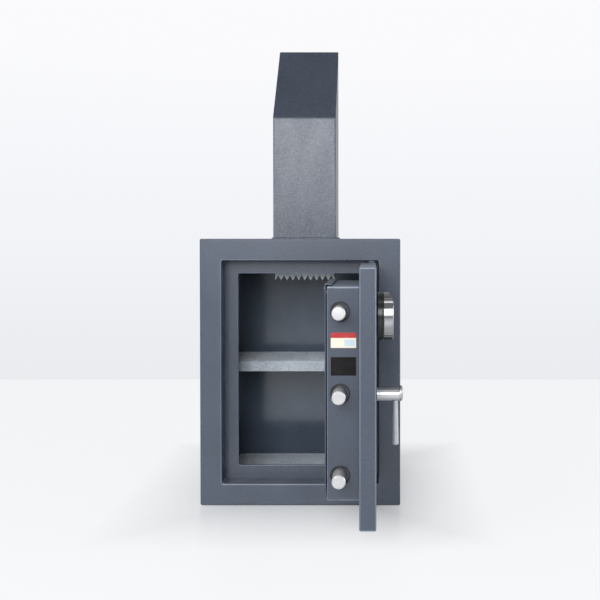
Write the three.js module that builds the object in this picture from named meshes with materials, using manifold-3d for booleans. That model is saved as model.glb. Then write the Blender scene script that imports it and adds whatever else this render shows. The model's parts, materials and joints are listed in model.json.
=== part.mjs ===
// Gooseneck deposit safe, door open: an insulated steel cabinet with a wedge-topped deposit neck on its roof,
// an anti-fishing comb, a shelf, and a door that carries three round bolts, a lever handle and an electronic
// keypad lock. Millimetres, +Z up, front toward -Y, origin at the centre of the cabinet's underside.
import * as THREE from "three";
import { mergeVertices } from "three/addons/utils/BufferGeometryUtils.js";
import Module from "manifold-3d";

const wasm = await Module();
wasm.setup();

// Clearances that are shared by many pieces.
const SEAM = 0.3; // between pieces that are seated on each other
const RUNNING = 0.25; // round a piece that slides or turns in another
const THROUGH = 1; // how far a cutting tool reaches past what it cuts
const FUSE = 1; // how deep pieces of one solid reach into each other

// Cabinet body.
const CASE_WIDTH = 381;
const CASE_HEIGHT = 508;
const CASE_DEPTH = 270;
const CASE_SHEET = 3;
const CASE_BEND = 3;
const BACK_SHEET = 3;
const WALL_THICKNESS = 35;
const LINER_SHEET = 2;
const LINER_BEND = 4;
const ANCHOR_RADIUS = 7;
const ANCHOR_SPACING_X = 220;
const ANCHOR_SPACING_Y = 110;
const INNER_BEND = 1; // inside of a folded sheet

// Front frame: face plate, rebate that the door closes into, and jamb that the bolts catch behind.
const FACE_BORDER = 41.25;
const FRAME_PLATE = 6;
const FRAME_EDGE = 2.4;
const REBATE_DEPTH = 37;
const JAMB_LEDGE = 26;
const JAMB_PLATE = 6.35;
const JAMB_EDGE = 1.2;
const FRAME_CORNER = 3;

// Deposit neck, hood and anti-fishing pieces.
const NECK_SIDE = 127;
const NECK_SETBACK = 104; // cabinet front to the neck's front
const NECK_FRONT_HEIGHT = 247.5;
const NECK_HEIGHT = 406.4;
const NECK_PLATE = 3.2;
const NECK_BEND = 3;
const HOOD_EDGE = 1.5;
const MOUTH_WIDTH = 102;
const MOUTH_HEIGHT = 64;
const MOUTH_DROP = 34; // the hood's rear edge to the mouth's top
const MOUTH_CORNER = 5;
const NECK_BACK_CORNER = 0.5;
const WELD_LEG = 4;
const WELD_ROUND = 3.8;
const BAFFLE_PLATE = 2.5;
const BAFFLE_LIP = 12;
const BAFFLE_HEIGHT = 190; // above the cabinet's top
const BAFFLE_RUN = 64;
const BAFFLE_FALL = 40;
const COMB_PLATE = 2;
const COMB_TEETH = 10;
const COMB_TOOTH = 8.8;
const COMB_DROP = 47.6; // below the ceiling of the cabinet's room
const COMB_OVERLAP = 27; // of the comb on the neck's front wall

// Shelf and floor.
const SHELF_HEIGHT = 261; // of its upper face above the cabinet's underside
const SHELF_SETBACK = 100;
const SHELF_LIP = 18;
const SHELF_SHEET = 1.5;
const SHELF_SIDE_GAP = 1.2;
const CARPET = 2.4;
const CARPET_EDGE = 1;
const CARPET_CORNER = 3;
const BRACKET_LEG = 15;
const BRACKET_SHEET = 2;

// Door slab and its pivots. The door is modelled closed, about its pivot, and turned open as a group.
const DOOR_OPEN = 90;
const DOOR_THICKNESS = 27;
const DOOR_EDGE = 2.2;
const DOOR_CORNER = 3.2;
const DOOR_RECESS = 0.8; // of the closed door's face behind the cabinet's front
const DOOR_FREE_GAP = 2;
const DOOR_HINGE_GAP = 3.5;
const DOOR_TOP_GAP = 3.75;
const DOOR_FOOT_GAP = 6.5;
const PIVOT_INSET = 13.5; // from the frame opening's right edge
const PIVOT_TO_FACE = 8;
const PIN_RADIUS = 4.5;
const PIN_COLLAR = 7.4;
const PIN_IN_FRAME = 9;
const PIN_IN_DOOR = 20;
const PIN_CHAMFER = 1;
const BUSH_RADIUS = 6.1;
const BUSH_SPARE = 1; // of a bush's length past its pin
const LEAD_HOLE_RADIUS = 6; // for the keypad's lead

// Bolt box on the door's inner face.
const BOX_JAMB_GAP = 14.5; // closed box to the jamb's edge
const BOX_DEAD_GAP = 28.5; // box to the dead bar on the hinge side
const BOX_HEIGHT = 348;
const BOX_RISE = 3.5; // of its middle above the door's middle
const BOX_SHEET = 2.5;
const BOX_BEND = 4;
const BOX_INNER_BEND = 2.5;
const BOX_EDGE = 1.5;
const BOX_HOLE_RADIUS = 16.5;
const BOX_HOLE_SHIFT = 1; // of a hole's middle toward the door, from the bolt's axis
const BOX_LIP = 14;
const COVER_GAP = 1.6;
const COVER_SHEET = 1.5;
const COVER_BEND = 1.5;
const COVER_WRAP = 8.5; // of the lid's flange over the box's top
const COVER_TOP_GAP = 1.3; // between that flange and the box
const COVER_SHORT = 4.2; // of the lid's lower edge, above the box's
const COVER_SPACER_RADIUS = 4;
const COVER_SPACER_INSET = 11; // of the spacers from the box's edges, on its lip

// Boltwork.
const BOLT_RADIUS = 11.1;
const BOLT_PITCH = 132.3;
const BOLT_CATCH = 23; // of a thrown bolt behind the jamb
const BOLT_THROW = 32;
const BOLT_JAMB_GAP = 5.55;
const BOLT_COVER_GAP = 7;
const BOLT_EDGE = 1;
const BOLT_LENGTH = 110;
const TAIL_RADIUS = 6;
const TAIL_END = 1.2; // of a bolt's tail past its nut
const NUT_ACROSS = 19;
const NUT_LENGTH = 6;
const GUIDE_BAR = 8;
const GUIDE_BAR_GAP = 3.5;
const GUIDE_BAR_END = 27; // beyond the end bolts' centres
const CARRIAGE_PLATE = 6;
const CARRIAGE_BAR = 12;
const CARRIAGE_REACH = 54; // of its plate ahead of the bar
const CARRIAGE_END = 15; // of its plate beyond the end bolts' centres
const STUD_RADIUS = 4.5;
const STUD_HEAD = 8.5;
const STUD_HEAD_LENGTH = 3.6;
const STUD_CHAMFER = 1;
const STUD_SPACING = 150;
const STUD_BAR_GAP = 1.5; // a stud's head to the carriage's bar
const SLOT_CORNER = 3;
const DEAD_BAR = 6;
const DEAD_BAR_HEIGHT = 330;
const DEAD_BAR_CATCH = 9.5;
const DEAD_BAR_GAP = 3.5;

// Handle and its drive.
const HANDLE_IN_BOX = 45.5; // from the bolt box's free end
const HANDLE_DROP = 5.75; // below the door's middle
const SPINDLE_RADIUS = 6;
const SPINDLE_IN_HUB = 18;
const HUB_RADIUS = 10.9;
const HUB_LENGTH = 38.7;
const HUB_CAP_RADIUS = 13;
const HUB_CAP_LENGTH = 5.2;
const HUB_CAP_RISE = 2;
const HUB_CHAMFER = 1;
const LEVER_OUT = 32; // lever's axis from the door's face
const LEVER_IN_HUB = 6.9;
const LEVER_LENGTH = 83.75; // hub's axis to the lever's tip
const LEVER_ROOT_RADIUS = 4.4;
const LEVER_TIP_RADIUS = 5.6;
const CAM_THICKNESS = 7.6;
const CAM_HUB_RADIUS = 13;
const CAM_PIN_RADIUS = 4;
const CAM_SLOT_PLAY = 1;
const CAM_SLOT_CORNER = 2;
const CAM_PLATE_GAP = 2.9; // cam to the carriage's plate
const CAM_ARM_RADIUS = 7;
const SPINDLE_CHAMFER = 1;
const HANDLE_TURN = 90;

// Lock case and lock bolt, inside the box.
const LOCK_WIDTH = 57;
const LOCK_HEIGHT = 85;
const LOCK_DEPTH = 28.4;
const LOCK_CORNER = 2;
const LOCK_EDGE = 1;
const LOCK_RISE = 33; // of its top above the bolts' middle
const LOCK_BOLT_WIDTH = 12;
const LOCK_BOLT_DEPTH = 9.5;
const LOCK_BOLT_LENGTH = 34;
const LOCK_BOLT_CORNER = 1;
const LOCK_BOLT_EDGE = 0.5;
const LOCK_BOLT_PLAY = 1.2; // between the thrown carriage's arm and the lock bolt
const LOCK_BOLT_STEP = 2; // of its face from the carriage plate's face
const LOCK_ARM_REACH = 10.2; // of the carriage's arm over the lock case
const LOCK_ARM_HEIGHT = 12;
const LOCK_ARM_GAP = 1.6;
const LOCK_WALL_GAP = 4;

// Keypad on the door's outer face.
const KEYPAD_INSET = 93; // from the door's free edge
const KEYPAD_RISE = 124.4; // above the door's middle
const KEYPAD_RADIUS = 40;
const KEYPAD_BASE = 12;
const KEYPAD_SHELL = 16;
const KEYPAD_WALL = 2.2;
const KEYPAD_EDGE = 1.2;
const KEYPAD_FOOT = 3; // height of the base's tapered foot
const KEYPAD_FACET_RUN = 15.3; // how far down the front the slanted top facet reaches
const KEYPAD_FACET_FALL = 7.6;
const PANEL_WIDTH = 43;
const PANEL_HEIGHT = 50;
const PANEL_CORNER = 5;
const PANEL_DROP = 6; // of its middle below the keypad's middle
const PANEL_THICKNESS = 3.2;
const PANEL_FLANGE = 1.4;
const PANEL_RECESS = 0.8;
const KEY_WIDTH = 10.4;
const KEY_HEIGHT = 8.9;
const KEY_PROUD = 1.6;
const KEY_FLANGE = 0.7;
const KEY_FLANGE_SHEET = 1;
const KEY_PITCH_X = 14;
const KEY_PITCH_Z = 12.4;
const KEY_CORNER = 1.8;
const KEY_EDGE = 0.5;
const KEY_GAP = 0.3;
const KEY_COLUMNS = 3;
const KEY_ROWS = 4;

// Mesh fineness.
const SMALL_SIDES = 20;
const ROUND_SIDES = 28;
const HOLE_SIDES = 36;
const KEYPAD_SIDES = 48;
const BEVEL_STEPS = 2;
const EASE = 0.3; // where a turned edge's rounding has its middle facet, as a share of its size

// Turned outlines, as shares of the radius and the length.
const HUB_CAP_OUTLINE = [
  [0, 0],
  [0.77, 0],
  [0.94, 0.23],
  [1, 0.58],
  [0.95, 1],
  [0, 1],
];
const LEVER_TIP_OUTLINE = [
  [0, 0],
  [0.55, 0],
  [0.88, 0.3],
  [1, 0.9],
];

// Places that follow from the dimensions, in the cabinet's frame.
const FRONT_Y = -CASE_DEPTH / 2;
const BACK_Y = CASE_DEPTH / 2;
const behindFront = (depth) => FRONT_Y + depth;
const OPENING_X = CASE_WIDTH / 2 - FACE_BORDER;
const OPENING_Z = [FACE_BORDER, CASE_HEIGHT - FACE_BORDER];
const JAMB_X = OPENING_X - JAMB_LEDGE;
const JAMB_Z = [OPENING_Z[0] + JAMB_LEDGE, OPENING_Z[1] - JAMB_LEDGE];
const ROOM_X = CASE_WIDTH / 2 - WALL_THICKNESS;
const ROOM_Z = [WALL_THICKNESS, CASE_HEIGHT - WALL_THICKNESS];
const ROOM_FRONT_Y = behindFront(REBATE_DEPTH + JAMB_PLATE);
const ROOM_BACK_Y = BACK_Y - WALL_THICKNESS;
const NECK_X = NECK_SIDE / 2;
const NECK_Y = [behindFront(NECK_SETBACK), behindFront(NECK_SETBACK + NECK_SIDE)];
const HOOD_SLOPE = (NECK_HEIGHT - NECK_FRONT_HEIGHT) / NECK_SIDE;
const HOOD_UPRIGHT = NECK_PLATE * Math.hypot(1, HOOD_SLOPE); // the hood plate's thickness measured upright
const PIVOT_X = OPENING_X - PIVOT_INSET;
const PIVOT_DEPTH = DOOR_RECESS + PIVOT_TO_FACE;

// Places in the closed door's frame: x from the pivot toward the hinge side, y inward, z up.
const DOOR_MIDDLE_Z = CASE_HEIGHT / 2;
const DOOR_X = [-(2 * OPENING_X - PIVOT_INSET - DOOR_FREE_GAP), PIVOT_INSET - DOOR_HINGE_GAP];
const DOOR_Y = [-PIVOT_TO_FACE, DOOR_THICKNESS - PIVOT_TO_FACE];
const DOOR_Z = [OPENING_Z[0] + DOOR_FOOT_GAP, OPENING_Z[1] - DOOR_TOP_GAP];
const SEAT_Y = DOOR_Y[1] + SEAM; // where pieces stand on the door's inner face
const JAMB_EDGE_X = -(2 * OPENING_X - PIVOT_INSET - JAMB_LEDGE);
const JAMB_BACK_Y = REBATE_DEPTH + JAMB_PLATE - PIVOT_DEPTH;
const JAMB_HINGE_X = PIVOT_INSET - JAMB_LEDGE;
const DEAD_WEB_X = [JAMB_HINGE_X - DEAD_BAR_GAP - DEAD_BAR, JAMB_HINGE_X - DEAD_BAR_GAP];
const BOX_X = [JAMB_EDGE_X + BOX_JAMB_GAP, DEAD_WEB_X[0] - BOX_DEAD_GAP];
const BOX_MIDDLE_Z = DOOR_MIDDLE_Z + BOX_RISE;
const BOX_Z = [BOX_MIDDLE_Z - BOX_HEIGHT / 2, BOX_MIDDLE_Z + BOX_HEIGHT / 2];
const BOLT_Y = JAMB_BACK_Y + BOLT_JAMB_GAP + BOLT_RADIUS;
const BOX_INNER_Y = BOLT_Y + BOLT_RADIUS + BOLT_COVER_GAP + BOX_SHEET;
const BOLT_TIP_X = JAMB_EDGE_X - BOLT_CATCH;
const BOLT_END_X = BOLT_TIP_X + BOLT_LENGTH;
const BOLT_Z = [1, 0, -1].map((step) => BOX_MIDDLE_Z + step * BOLT_PITCH);
const GUIDE_X = [BOX_X[0] + BOX_SHEET + GUIDE_BAR_GAP, BOX_X[0] + BOX_SHEET + GUIDE_BAR_GAP + GUIDE_BAR];
const PLATE_Y = [BOLT_Y - BOLT_RADIUS - SEAM - CARRIAGE_PLATE, BOLT_Y - BOLT_RADIUS - SEAM];
const CARRIAGE_X = [BOLT_END_X + SEAM, BOLT_END_X + SEAM + CARRIAGE_BAR];
const HANDLE_X = BOX_X[0] + HANDLE_IN_BOX;
const HANDLE_Z = DOOR_MIDDLE_Z - HANDLE_DROP;
const CAM_REACH = BOLT_THROW / 2 / Math.sin(THREE.MathUtils.degToRad(HANDLE_TURN / 2));
const CAM_Y = [PLATE_Y[0] - CAM_PLATE_GAP - CAM_THICKNESS, PLATE_Y[0] - CAM_PLATE_GAP];
const CAM_PIN_Z = CAM_REACH * Math.cos(THREE.MathUtils.degToRad(HANDLE_TURN / 2));
const STUD_X = CARRIAGE_X[0] - STUD_HEAD - STUD_BAR_GAP;
const LOCK_END_X = BOX_X[1] - BOX_SHEET - LOCK_WALL_GAP;
const LOCK_X = [LOCK_END_X - LOCK_WIDTH, LOCK_END_X];
const LOCK_ARM_X = LOCK_X[0] + LOCK_ARM_REACH;
const LOCK_BOLT_X = [LOCK_ARM_X + LOCK_BOLT_PLAY, LOCK_ARM_X + LOCK_BOLT_PLAY + LOCK_BOLT_WIDTH];
const LOCK_TOP_Z = BOX_MIDDLE_Z + LOCK_RISE;
const LOCK_BOLT_Y = [PLATE_Y[0] - LOCK_BOLT_STEP, PLATE_Y[0] - LOCK_BOLT_STEP + LOCK_BOLT_DEPTH];
const KEYPAD_X = DOOR_X[0] + KEYPAD_INSET;
const KEYPAD_Z = DOOR_MIDDLE_Z + KEYPAD_RISE;
const KEYPAD_BASE_Y = [DOOR_Y[0] - SEAM - KEYPAD_BASE, DOOR_Y[0] - SEAM];
const KEYPAD_SHELL_Y = [KEYPAD_BASE_Y[0] - SEAM - KEYPAD_SHELL, KEYPAD_BASE_Y[0] - SEAM];
const PANEL_Z = KEYPAD_Z - PANEL_DROP;
const PANEL_Y = [KEYPAD_SHELL_Y[0] + PANEL_RECESS, KEYPAD_SHELL_Y[0] + PANEL_RECESS + PANEL_THICKNESS];

// Finishes.
const finish = (color, roughness, metalness) => new THREE.MeshStandardMaterial({ color, roughness, metalness });
const paint = finish(0x5a626e, 0.42, 0.15);
const innerPaint = finish(0x4a515c, 0.38, 0.15);
const fill = finish(0xb9b4a8, 0.95, 0);
const barePlate = finish(0xa3a8b0, 0.45, 0.8);
const machined = finish(0xc9ccd1, 0.28, 1);
const chrome = finish(0xd9dbdd, 0.12, 1);
const bronze = finish(0xa97c45, 0.4, 0.9);
const blackPlastic = finish(0x17181b, 0.45, 0);
const keyPlastic = finish(0x2b2d31, 0.5, 0);
const carpet = finish(0x9b9ea4, 1, 0);

/** A closed three.js geometry as a solid that can be joined and cut. */
function solidOf(geometry) {
  const bare = geometry.index ? geometry.toNonIndexed() : geometry.clone();
  bare.deleteAttribute("normal");
  bare.deleteAttribute("uv");
  const merged = mergeVertices(bare, 1e-4);
  return new wasm.Manifold(
    new wasm.Mesh({
      numProp: 3,
      vertProperties: new Float32Array(merged.attributes.position.array),
      triVerts: new Uint32Array(merged.index.array),
    }),
  );
}

/** A solid as a flat-shaded geometry. */
function geometryOf(solid) {
  const mesh = solid.getMesh();
  const indexed = new THREE.BufferGeometry();
  indexed.setAttribute("position", new THREE.BufferAttribute(new Float32Array(mesh.vertProperties), 3));
  indexed.setIndex(new THREE.BufferAttribute(new Uint32Array(mesh.triVerts), 1));
  const flat = indexed.toNonIndexed();
  flat.computeVertexNormals();
  return flat;
}

/** The geometry with each tool's volume taken away. */
function cut(geometry, ...tools) {
  return geometryOf(tools.reduce((body, tool) => body.subtract(solidOf(tool)), solidOf(geometry)));
}

/** One geometry from pieces that overlap. */
function join(...geometries) {
  return geometryOf(geometries.map(solidOf).reduce((body, more) => body.add(more)));
}

/** A rectangle with rounded corners, as a shape. */
function roundedRect([x0, x1], [y0, y1], radius) {
  const shape = new THREE.Shape();
  shape.moveTo(x0 + radius, y0);
  shape.lineTo(x1 - radius, y0);
  shape.absarc(x1 - radius, y0 + radius, radius, -Math.PI / 2, 0);
  shape.lineTo(x1, y1 - radius);
  shape.absarc(x1 - radius, y1 - radius, radius, 0, Math.PI / 2);
  shape.lineTo(x0 + radius, y1);
  shape.absarc(x0 + radius, y1 - radius, radius, Math.PI / 2, Math.PI);
  shape.lineTo(x0, y0 + radius);
  shape.absarc(x0 + radius, y0 + radius, radius, Math.PI, 1.5 * Math.PI);
  return shape;
}

/** A polygon through the given corners, as a shape. */
const polygon = (corners) => new THREE.Shape(corners.map(([x, y]) => new THREE.Vector2(x, y)));

/** A shape given a length along +Z, with its end edges rounded by the bevel. */
function extruded(shape, length, bevel) {
  return new THREE.ExtrudeGeometry(shape, {
    depth: length - 2 * bevel,
    bevelEnabled: bevel > 0,
    bevelSize: bevel,
    bevelThickness: bevel,
    bevelOffset: -bevel,
    bevelSegments: BEVEL_STEPS,
    curveSegments: 2,
  }).translate(0, 0, bevel);
}

const TO_X = new THREE.Matrix4().makeBasis(
  new THREE.Vector3(0, 1, 0),
  new THREE.Vector3(0, 0, 1),
  new THREE.Vector3(1, 0, 0),
);

/** A shape drawn in y and z, from x0 to x1. */
const alongX = (shape, [x0, x1], bevel = 0) =>
  extruded(shape, x1 - x0, bevel).applyMatrix4(TO_X).translate(x0, 0, 0);

/** A shape drawn in x and z, from y0 to y1. */
const alongY = (shape, [y0, y1], bevel = 0) =>
  extruded(shape, y1 - y0, bevel).rotateX(Math.PI / 2).translate(0, y1, 0);

/** A shape drawn in x and y, from z0 to z1. */
const alongZ = (shape, [z0, z1], bevel = 0) => extruded(shape, z1 - z0, bevel).translate(0, 0, z0);

/** A plain block between two corners, used for cuts and flat stock. */
const block = ([x0, x1], [y0, y1], [z0, z1]) =>
  new THREE.BoxGeometry(x1 - x0, y1 - y0, z1 - z0).translate((x0 + x1) / 2, (y0 + y1) / 2, (z0 + z1) / 2);

const TURN_TO = {
  x: (geometry) => geometry.rotateZ(-Math.PI / 2),
  y: (geometry) => geometry,
  z: (geometry) => geometry.rotateX(Math.PI / 2),
};

/** A round bar along an axis, from a start point. */
function rod(axis, radius, [x, y, z], length, sides = ROUND_SIDES) {
  const bar = new THREE.CylinderGeometry(radius, radius, length, sides).translate(0, length / 2, 0);
  return TURN_TO[axis](bar).translate(x, y, z);
}

/** A profile of radius and height pairs, turned round an axis from a start point. */
function turned(axis, profile, [x, y, z], sides = ROUND_SIDES) {
  const points = profile.map(([radius, height]) => new THREE.Vector2(radius, height));
  return TURN_TO[axis](new THREE.LatheGeometry(points, sides)).translate(x, y, z);
}

/** A range grown by a margin at both ends. */
const grown = ([low, high], margin) => [low - margin, high + margin];

/** A range of a full width about a middle. */
const about = (middle, width) => [middle - width / 2, middle + width / 2];

/** The same half width to both sides of the middle plane. */
const mirrored = (half) => [-half, half];

/** Puts a named piece in a group. */
function put(group, name, geometry, material) {
  const mesh = new THREE.Mesh(geometry, material);
  mesh.name = name;
  group.add(mesh);
}

/** The square passage that the neck takes through the roof. */
const neckPassage = (clearance, zRange) =>
  alongZ(roundedRect(mirrored(NECK_X + clearance), grown(NECK_Y, clearance), NECK_BEND), zRange);

/** The anchor holes through the floor, for a range of heights. */
function anchorHoles([z0, z1]) {
  const hole = (x, y) => rod("z", ANCHOR_RADIUS, [x, y, z0], z1 - z0, SMALL_SIDES);
  return about(0, ANCHOR_SPACING_X).flatMap((x) => about(0, ANCHOR_SPACING_Y).map((y) => hole(x, y)));
}

/** Outer case: sheet bent round the four sides, open to front and back. */
function outerCase() {
  const yRange = [behindFront(FRAME_PLATE + SEAM), BACK_Y - BACK_SHEET - SEAM];
  const outside = roundedRect(mirrored(CASE_WIDTH / 2), [0, CASE_HEIGHT], CASE_BEND);
  const insideZ = [CASE_SHEET, CASE_HEIGHT - CASE_SHEET];
  const inside = roundedRect(mirrored(CASE_WIDTH / 2 - CASE_SHEET), insideZ, INNER_BEND);
  return cut(
    alongY(outside, yRange),
    alongY(inside, grown(yRange, THROUGH)),
    neckPassage(SEAM, [CASE_HEIGHT - 2 * CASE_SHEET, CASE_HEIGHT + THROUGH]),
    ...anchorHoles([-THROUGH, CASE_SHEET + THROUGH]),
  );
}

/** Back plate, flush with the case's edges. */
function backPlate() {
  const outline = roundedRect(mirrored(CASE_WIDTH / 2), [0, CASE_HEIGHT], CASE_BEND);
  return alongY(outline, [BACK_Y - BACK_SHEET, BACK_Y]);
}

/** The hinge pins' places in the frame, as sockets to cut. */
function pinSockets(clearance) {
  const at = [PIVOT_X, behindFront(PIVOT_DEPTH)];
  const length = PIN_IN_FRAME + THROUGH + clearance;
  return [
    rod("z", PIN_RADIUS + clearance, [...at, OPENING_Z[1] - THROUGH], length),
    rod("z", PIN_RADIUS + clearance, [...at, OPENING_Z[0] + THROUGH - length], length),
  ];
}

/** Door frame: the face border and the rebate's four walls, one rolled angle mitred at its corners. */
function doorFrame() {
  const face = roundedRect(mirrored(CASE_WIDTH / 2), [0, CASE_HEIGHT], CASE_BEND);
  face.holes.push(roundedRect(mirrored(OPENING_X), OPENING_Z, FRAME_CORNER));
  const edged = alongY(face, [FRONT_Y, behindFront(FRAME_PLATE + 2 * FRAME_EDGE)], FRAME_EDGE);
  const behind = block(
    mirrored(CASE_WIDTH),
    [behindFront(FRAME_PLATE), behindFront(2 * FRAME_PLATE)],
    [-THROUGH, CASE_HEIGHT + THROUGH],
  );
  const walls = roundedRect(mirrored(OPENING_X + FRAME_PLATE), grown(OPENING_Z, FRAME_PLATE), FRAME_CORNER);
  walls.holes.push(roundedRect(mirrored(OPENING_X), OPENING_Z, FRAME_CORNER));
  const rebate = alongY(walls, [behindFront(FRAME_PLATE - FUSE), behindFront(REBATE_DEPTH)]);
  return cut(join(cut(edged, behind), rebate), ...pinSockets(RUNNING));
}

/** The room's outline, grown by a margin. */
const roomOutline = (margin) =>
  roundedRect(mirrored(ROOM_X + margin), grown(ROOM_Z, margin), LINER_BEND + margin);

/** Jamb: the ring plate behind the rebate. */
function jambPlate() {
  const ring = roomOutline(LINER_SHEET);
  ring.holes.push(roundedRect(mirrored(JAMB_X), JAMB_Z, FRAME_CORNER));
  return alongY(ring, [behindFront(REBATE_DEPTH + SEAM), ROOM_FRONT_Y], JAMB_EDGE);
}

/** Inner liner: an open-fronted box of sheet. */
function innerLiner() {
  return cut(
    alongY(roomOutline(LINER_SHEET), [ROOM_FRONT_Y + SEAM, ROOM_BACK_Y + LINER_SHEET]),
    alongY(roomOutline(0), [ROOM_FRONT_Y - THROUGH, ROOM_BACK_Y]),
    neckPassage(SEAM, [ROOM_Z[1] - THROUGH, ROOM_Z[1] + LINER_SHEET + THROUGH]),
    ...anchorHoles([ROOM_Z[0] - LINER_SHEET - THROUGH, ROOM_Z[0] + THROUGH]),
  );
}

/** Insulating fill between case and liner, poured round the frame, the neck and the anchor holes. */
function wallFill() {
  const yRange = [behindFront(FRAME_PLATE + SEAM), BACK_Y - BACK_SHEET - SEAM];
  const inside = CASE_SHEET + SEAM;
  const frameSpace = FRAME_PLATE + SEAM;
  const jambSpace = LINER_SHEET + SEAM;
  const outline = roundedRect(mirrored(CASE_WIDTH / 2 - inside), [inside, CASE_HEIGHT - inside], INNER_BEND);
  const rebate = roundedRect(mirrored(OPENING_X + frameSpace), grown(OPENING_Z, frameSpace), INNER_BEND);
  return cut(
    alongY(outline, yRange),
    alongY(roomOutline(jambSpace), [behindFront(REBATE_DEPTH), ROOM_BACK_Y + jambSpace]),
    alongY(rebate, [FRONT_Y, behindFront(REBATE_DEPTH + SEAM)]),
    neckPassage(SEAM, [ROOM_Z[1], CASE_HEIGHT]),
    ...pinSockets(2 * SEAM),
    ...anchorHoles([0, ROOM_Z[0]]),
  );
}

/** Height of the hood's outer face above the cabinet's underside, at a place along y. */
const hoodHeight = (y) => CASE_HEIGHT + NECK_FRONT_HEIGHT + (y - NECK_Y[0]) * HOOD_SLOPE;

/** Everything higher than a drop below the hood's outer face, as a cutting wedge. */
function aboveHood(drop) {
  const [y0, y1] = grown(NECK_Y, THROUGH);
  const top = CASE_HEIGHT + NECK_HEIGHT + NECK_SIDE;
  const wedge = polygon([
    [y0, hoodHeight(y0) - drop],
    [y1, hoodHeight(y1) - drop],
    [y1, top],
    [y0, top],
  ]);
  return alongX(wedge, mirrored(NECK_SIDE));
}

/** Neck front and sides: one sheet bent to a channel, from the room's ceiling to the hood. */
function neckShell() {
  const outside = roundedRect(mirrored(NECK_X), NECK_Y, NECK_BEND);
  const zRange = [ROOM_Z[1], CASE_HEIGHT + NECK_HEIGHT];
  return cut(
    alongZ(outside, zRange),
    block(
      mirrored(NECK_X - NECK_PLATE),
      [NECK_Y[0] + NECK_PLATE, NECK_Y[1] + THROUGH],
      grown(zRange, THROUGH),
    ),
    aboveHood(HOOD_UPRIGHT + SEAM),
  );
}

/** Neck back with the deposit mouth, set between the sides. */
function neckBack() {
  const top = CASE_HEIGHT + NECK_HEIGHT;
  const mouthTop = top - MOUTH_DROP;
  const plate = roundedRect(mirrored(NECK_X - NECK_PLATE - SEAM), [ROOM_Z[1], top], NECK_BACK_CORNER);
  plate.holes.push(roundedRect(mirrored(MOUTH_WIDTH / 2), [mouthTop - MOUTH_HEIGHT, mouthTop], MOUTH_CORNER));
  return cut(alongY(plate, [NECK_Y[1] - NECK_PLATE, NECK_Y[1]]), aboveHood(HOOD_UPRIGHT + SEAM));
}

/** Hood: the sloped plate that closes the neck's top. */
function hoodPlate() {
  const profile = polygon([
    [NECK_Y[0], hoodHeight(NECK_Y[0]) - HOOD_UPRIGHT],
    [NECK_Y[1], hoodHeight(NECK_Y[1]) - HOOD_UPRIGHT],
    [NECK_Y[1], hoodHeight(NECK_Y[1])],
    [NECK_Y[0], hoodHeight(NECK_Y[0])],
  ]);
  return alongX(profile, mirrored(NECK_X), HOOD_EDGE);
}

/** Fillet weld round the neck's foot. */
function neckWeld() {
  const outer = roundedRect(
    mirrored(NECK_X + SEAM + WELD_LEG),
    grown(NECK_Y, SEAM + WELD_LEG),
    NECK_BEND + WELD_LEG,
  );
  const bead = alongZ(outer, about(CASE_HEIGHT + SEAM, 2 * WELD_LEG), WELD_ROUND);
  const below = block(
    mirrored(NECK_SIDE),
    grown(NECK_Y, 2 * WELD_LEG),
    [CASE_HEIGHT - 2 * WELD_LEG, CASE_HEIGHT + SEAM],
  );
  return cut(bead, below, neckPassage(SEAM, [CASE_HEIGHT, CASE_HEIGHT + 2 * WELD_LEG]));
}

/** Baffle: a sloping plate on the neck's front wall that stops a deposit from being drawn back up. */
function chuteBaffle() {
  const front = NECK_Y[0] + NECK_PLATE + SEAM;
  const top = CASE_HEIGHT + BAFFLE_HEIGHT;
  const slope = BAFFLE_FALL / (BAFFLE_RUN - BAFFLE_PLATE);
  const upright = BAFFLE_PLATE * Math.hypot(1, slope); // the sloping plate's thickness measured upright
  const profile = polygon([
    [front, top],
    [front, top - BAFFLE_LIP],
    [front + BAFFLE_PLATE, top - BAFFLE_LIP],
    [front + BAFFLE_PLATE, top - upright],
    [front + BAFFLE_RUN, top - upright - BAFFLE_FALL],
    [front + BAFFLE_RUN, top - BAFFLE_FALL],
    [front + BAFFLE_PLATE, top],
  ]);
  return alongX(profile, mirrored(NECK_X - NECK_PLATE - SEAM));
}

/** Anti-fishing comb: saw teeth along the foot of the neck's front wall, half a tooth at each end. */
function sawComb() {
  const half = NECK_X - NECK_PLATE - SEAM;
  const pitch = (2 * half) / COMB_TEETH;
  const tipZ = ROOM_Z[1] - COMB_DROP;
  const rootZ = tipZ + COMB_TOOTH;
  const topZ = ROOM_Z[1] + COMB_OVERLAP;
  const corners = [[-half, topZ], [-half, tipZ]];
  for (let tooth = 0; tooth < COMB_TEETH; tooth += 1) {
    const left = -half + tooth * pitch;
    corners.push([left + pitch / 2, rootZ]);
    corners.push([left + pitch, tipZ]);
  }
  corners.push([half, topZ]);
  const front = NECK_Y[0] + NECK_PLATE + SEAM;
  return alongY(polygon(corners), [front, front + COMB_PLATE]);
}

/** Shelf: an upturned tray of sheet with lips on its four sides. */
function shelfPan() {
  const top = SHELF_HEIGHT - CARPET - SEAM;
  const half = ROOM_X - SHELF_SIDE_GAP;
  const yRange = [behindFront(SHELF_SETBACK + CARPET + SEAM), ROOM_BACK_Y - SEAM];
  const inner = grown(yRange, -SHELF_SHEET);
  return cut(
    block(mirrored(half), yRange, [top - SHELF_LIP, top]),
    block(mirrored(half - SHELF_SHEET), inner, [top - SHELF_LIP - THROUGH, top - SHELF_SHEET]),
  );
}

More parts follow.
